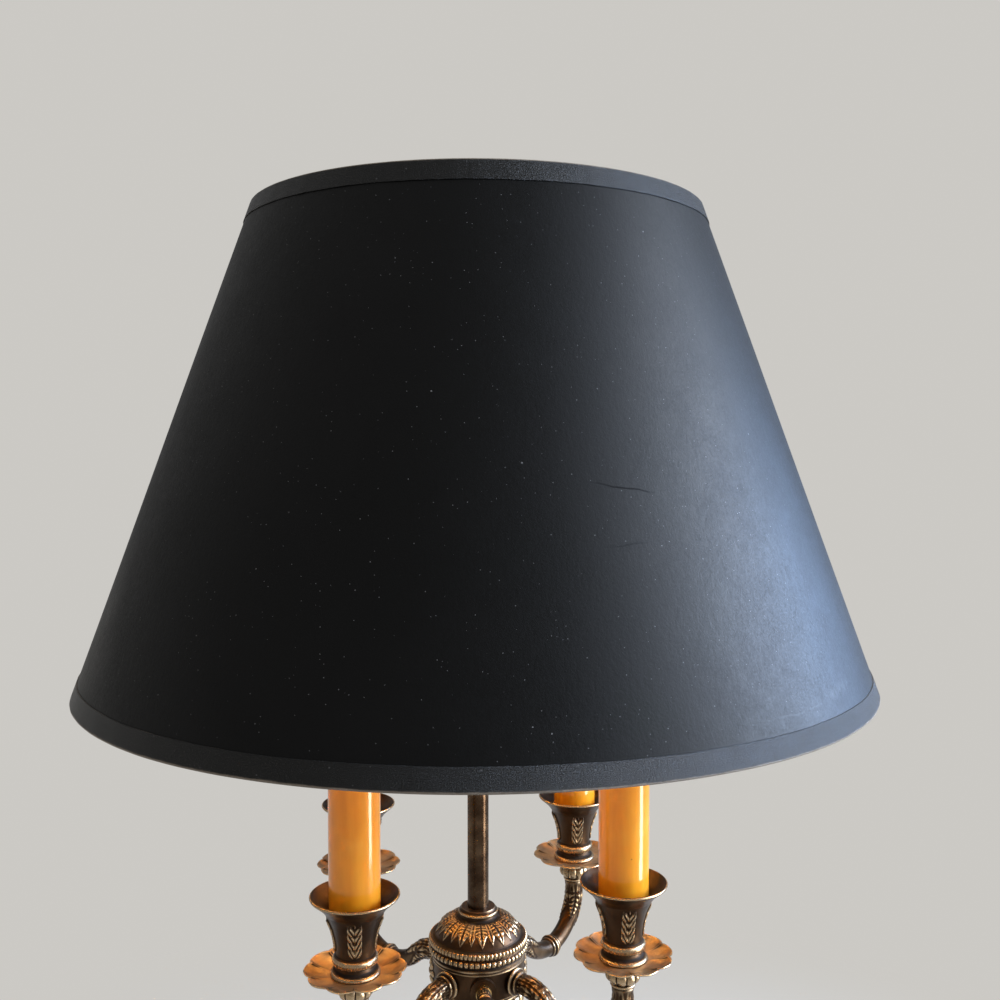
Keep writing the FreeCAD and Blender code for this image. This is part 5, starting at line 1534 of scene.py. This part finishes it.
def make_lamp(place_name):
    node = f"bulb_{place_name}"
    low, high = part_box(node)
    base_at, top = low.z / MM, high.z / MM
    belly = (high.x - low.x) / 2 / MM
    runs = [(5.9, 0), (9.6, 4.6), (12.6, 10.2), (15.2, 18), (belly, 26), (15.3, 37.5), (12.5, 49), (8.3, 60),
            (4.9, 66.2), (2.5, 70.0), (1.2, 71.6), (0.4, top - base_at - 0.03), (0, top - base_at)]
    outer = outline([(r, base_at + z) for r, z in runs], steps=7)
    inner = outer - GLASS_WALL * MM * side_of(outer, False)
    inner[-1] = (0.0, outer[-1, 1] - GLASS_WALL * MM)
    inner[:, 0] = np.maximum(inner[:, 0], 0)
    profile = np.vstack([inner[::-1], outer])
    glass = turned(f"glass_{place_name}", profile, 80, clear_glass, "clear_glass", centre_of(node), closed=False,
                   sharp=80, replaces=(node,))
    glass.visible_shadow = False
    return glass


def make_inside(place_name):
    """Stem, leads and filament of one lamp."""
    low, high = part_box(f"bulb_{place_name}")
    x, y = centre_of(f"bulb_{place_name}")
    middle = np.array([x, y, low.z])
    foot = low.z / MM
    stem = turned(f"lamp_stem_{place_name}", outline(
        [(0, foot + 0.9), (4.4, foot + 0.9)],
        [(4.4, foot + 0.9), (4.2, foot + 2.2), (2.2, foot + 6.0), (1.6, foot + 12.0), (1.9, foot + 15.5),
         (1.2, foot + 17.0), (0, foot + 17.3)]), 32, clear_glass, "clear_glass", (x, y), closed=False,
        replaces=("bulb_filaments",))
    half = smooth_run([(0.9, 8.0), (0.9, 17.0), (1.6, 20.0), (4.0, 27.0), (4.6, 30.0)], 8)
    line = np.vstack([half[::-1] * (-1, 1), half[1:]])
    leads = pipe(f"lamp_leads_{place_name}", middle + MM * np.stack([line[:, 0], 0 * line[:, 0], line[:, 1]], 1),
                 (0, 1, 0), 0.28 * MM, 8, nickel_cap, "nickel_cap", replaces=("bulb_filaments",))
    t = np.linspace(0, 1, COIL_TURNS * 9)
    arch = np.pi * (1 - t)
    centre_line = np.stack([4.6 * np.cos(arch), 4.6 * np.sin(arch), 29.8 + 8.5 * np.abs(np.sin(ARCHES * np.pi * t)) ** 0.8], 1)
    heading = np.gradient(centre_line, axis=0)
    heading /= np.linalg.norm(heading, axis=1, keepdims=True)
    side = np.cross(heading, (np.cos(arch)[:, None] * (1, 0, 0) + np.sin(arch)[:, None] * (0, 1, 0)))
    side /= np.linalg.norm(side, axis=1, keepdims=True)
    third = np.cross(heading, side)
    wind = (TAU * COIL_TURNS * t)[:, None]
    outward = side * np.cos(wind) + third * np.sin(wind)
    filament = pipe(f"filament_{place_name}", middle + MM * (centre_line + 0.45 * outward), outward, 0.15 * MM, 6,
                    filament_wire, "filament_wire", replaces=("bulb_filaments",))
    return stem, leads, filament


for place_name in PLACES:
    glass = make_lamp(place_name)
    inside = make_inside(place_name)
print("lamp", len(glass.data.polygons), "faces, filament", len(inside[2].data.polygons))

# %% [markdown]
# The nodes whose shape is already right keep their CAD mesh and only get their finish. Each finish is
# assigned to every node of its slot in the record, so a node can't be forgotten.

# %% Finishes for the nodes that stay
FINISHES = {
    "black_paper": black_paper, "gold_foil": gold_foil, "trim_tape": trim_tape, "shade_wire": shade_wire,
    "dark_bronze": dark_bronze, "candle_sleeve": candle_sleeve, "clear_glass": clear_glass,
    "nickel_cap": nickel_cap, "filament_wire": filament_wire, "brass_shell": brass_shell,
    "socket_phenolic": socket_phenolic, "lead_cover": lead_cover, "plated_steel": plated_steel,
    "grey_iron": grey_iron, "green_felt": green_felt, "black_bushing": black_bushing,
}
SMOOTH_BRONZE = ("centre_rod", "slip_collar", "rod_finial")


def dress_nodes():
    """Put one finish in the only material slot of each node."""
    for row in frame["record"]["subparts"]:
        node = frame["nodes"][row["node"]]
        finish = rod_bronze if row["node"] in SMOOTH_BRONZE else FINISHES[row["material_slot"]]
        node.data.materials.clear()
        node.data.materials.append(finish)
    return len(frame["record"]["subparts"])


print("dressed", dress_nodes(), "nodes")

# %% [markdown]
# The stage is a plain pale floor. Close to the lamp it is a real surface that takes its shadow. Further out
# it turns, over a soft ring, into the plain colour of the backdrop, so that no horizon shows from any side.
# The backdrop is only seen by camera, mirror and glass rays, and adds nothing to the light on the lamp.

# %% Stage
BACKDROP = (0.60, 0.585, 0.555, 1)
FLOOR_NEAR = 0.12
FLOOR_FAR = 0.62


def make_floor():
    """A large square on the table's level."""
    size = 12.0
    mesh = bpy.data.meshes.new("floor")
    mesh.from_pydata([(-size, -size, 0), (size, -size, 0), (size, size, 0), (-size, size, 0)], [], [(0, 1, 2, 3)])
    floor = bpy.data.objects.new("floor", mesh)
    bpy.context.scene.collection.objects.link(floor)
    material, tree, shader = new_material("floor", Roughness=0.9, Specular_IOR_Level=0.1)
    where = object_place(tree)
    distance = add(tree, "ShaderNodeVectorMath", {0: where}, operation="LENGTH").outputs["Value"]
    far = ramp(tree, distance, FLOOR_NEAR, FLOOR_FAR)
    speckle = noise(tree, where, 60.0, 3.0)
    tone = blend(tree, speckle, (0.50, 0.47, 0.43, 1), (0.53, 0.50, 0.46, 1))
    finish_with(tree, shader, tone)
    glow = add(tree, "ShaderNodeEmission", {"Color": BACKDROP})
    mixed = add(tree, "ShaderNodeMixShader", {0: far, 1: shader.outputs[0], 2: glow.outputs[0]})
    tree.links.new(mixed.outputs[0], tree.nodes["Material Output"].inputs["Surface"])
    mesh.materials.append(material)
    return floor


floor = make_floor()
print("floor fades to the backdrop between", FLOOR_NEAR, "and", FLOOR_FAR, "m")

# %% [markdown]
# The studio light is soft and plain. The world gives an even neutral light, a little stronger from above. On
# the right, where the photograph's window is, stand two large cool panels with a low blue one before them:
# mirrored in the paper at the angle that the camera sees, they make the blue-grey sheen. A weaker warm panel
# fills from the upper left. A small low strip only shows in mirrors: upright tubes that are seen from above
# mirror what is low, so the strip draws the narrow highlight on the sleeves and the rod.

# %% Light
WORLD_LOW = 0.10
WORLD_HIGH = 0.44
MIRROR_SHARE = 0.15


def make_world():
    """Neutral light that grows from the floor up, and the backdrop's colour for what the camera sees."""
    world = bpy.data.worlds.new("studio")
    bpy.context.scene.world = world
    world.use_nodes = True
    tree = world.node_tree
    direction = add(tree, "ShaderNodeTexCoord").outputs["Generated"]
    up = add(tree, "ShaderNodeSeparateXYZ", {0: direction}).outputs[2]
    strength = ramp(tree, up, -0.2, 0.9, WORLD_LOW, WORLD_HIGH)
    rays = add(tree, "ShaderNodeLightPath").outputs
    seen = calc(tree, "MAXIMUM", rays["Is Camera Ray"], rays["Is Transmission Ray"])
    seen = calc(tree, "MAXIMUM", seen, calc(tree, "MULTIPLY", rays["Is Glossy Ray"], MIRROR_SHARE))
    level = blend(tree, seen, (1, 1, 1, 1), BACKDROP)
    amount = calc(tree, "MULTIPLY_ADD", seen, calc(tree, "SUBTRACT", 1.0, strength), strength)
    tree.links.new(level, tree.nodes["Background"].inputs["Color"])
    tree.links.new(amount, tree.nodes["Background"].inputs["Strength"])
    return world


def make_panel(name, place_at, aim, size, power, color):
    """A rectangular light, turned to face a point."""
    data = bpy.data.lights.new(name, "AREA")
    data.shape = "RECTANGLE"
    data.size, data.size_y = size
    data.energy = power
    data.color = color
    panel = bpy.data.objects.new(name, data)
    panel.location = place_at
    panel.visible_camera = False
    panel.rotation_euler = (Vector(aim) - Vector(place_at)).to_track_quat("-Z", "Y").to_euler()
    bpy.context.scene.collection.objects.link(panel)
    return panel


def make_lamp_light(place_name):
    """A small warm source inside one glass lamp."""
    data = bpy.data.lights.new(f"glow_{place_name}", "POINT")
    data.energy = 0.26
    data.color = (1.0, 0.62, 0.20)
    data.shadow_soft_size = 6 * MM
    low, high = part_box(f"bulb_{place_name}")
    light = bpy.data.objects.new(f"glow_{place_name}", data)
    light.location = (low + high) / 2
    bpy.context.scene.collection.objects.link(light)


world = make_world()
window = make_panel("window", (1.70, -0.34, 0.95), (0, 0, 0.46), (0.95, 1.25), 47.0, (0.74, 0.84, 1.0))
room = make_panel("room", (1.62, -0.62, 1.05), (0, 0, 0.46), (2.1, 1.3), 56.0, (0.78, 0.87, 1.0))
sky = make_panel("sky", (1.60, 0.10, 0.68), (0, 0, 0.46), (1.2, 0.5), 34.0, (0.36, 0.58, 1.0))
strip = make_panel("strip", (0.70, -0.27, 0.16), (0, 0, 0.30), (0.20, 0.27), 3.2, (1.0, 0.93, 0.82))
strip.visible_diffuse = False
fill = make_panel("fill", (-1.3, -1.1, 1.9), (0, 0, 0.35), (1.2, 1.2), 12.0, (1.0, 0.93, 0.84))
fill.visible_glossy = False
for place_name in PLACES:
    make_lamp_light(place_name)
bpy.context.scene.view_settings.view_transform = "Standard"
print("world, five panels and four small lamp lights")
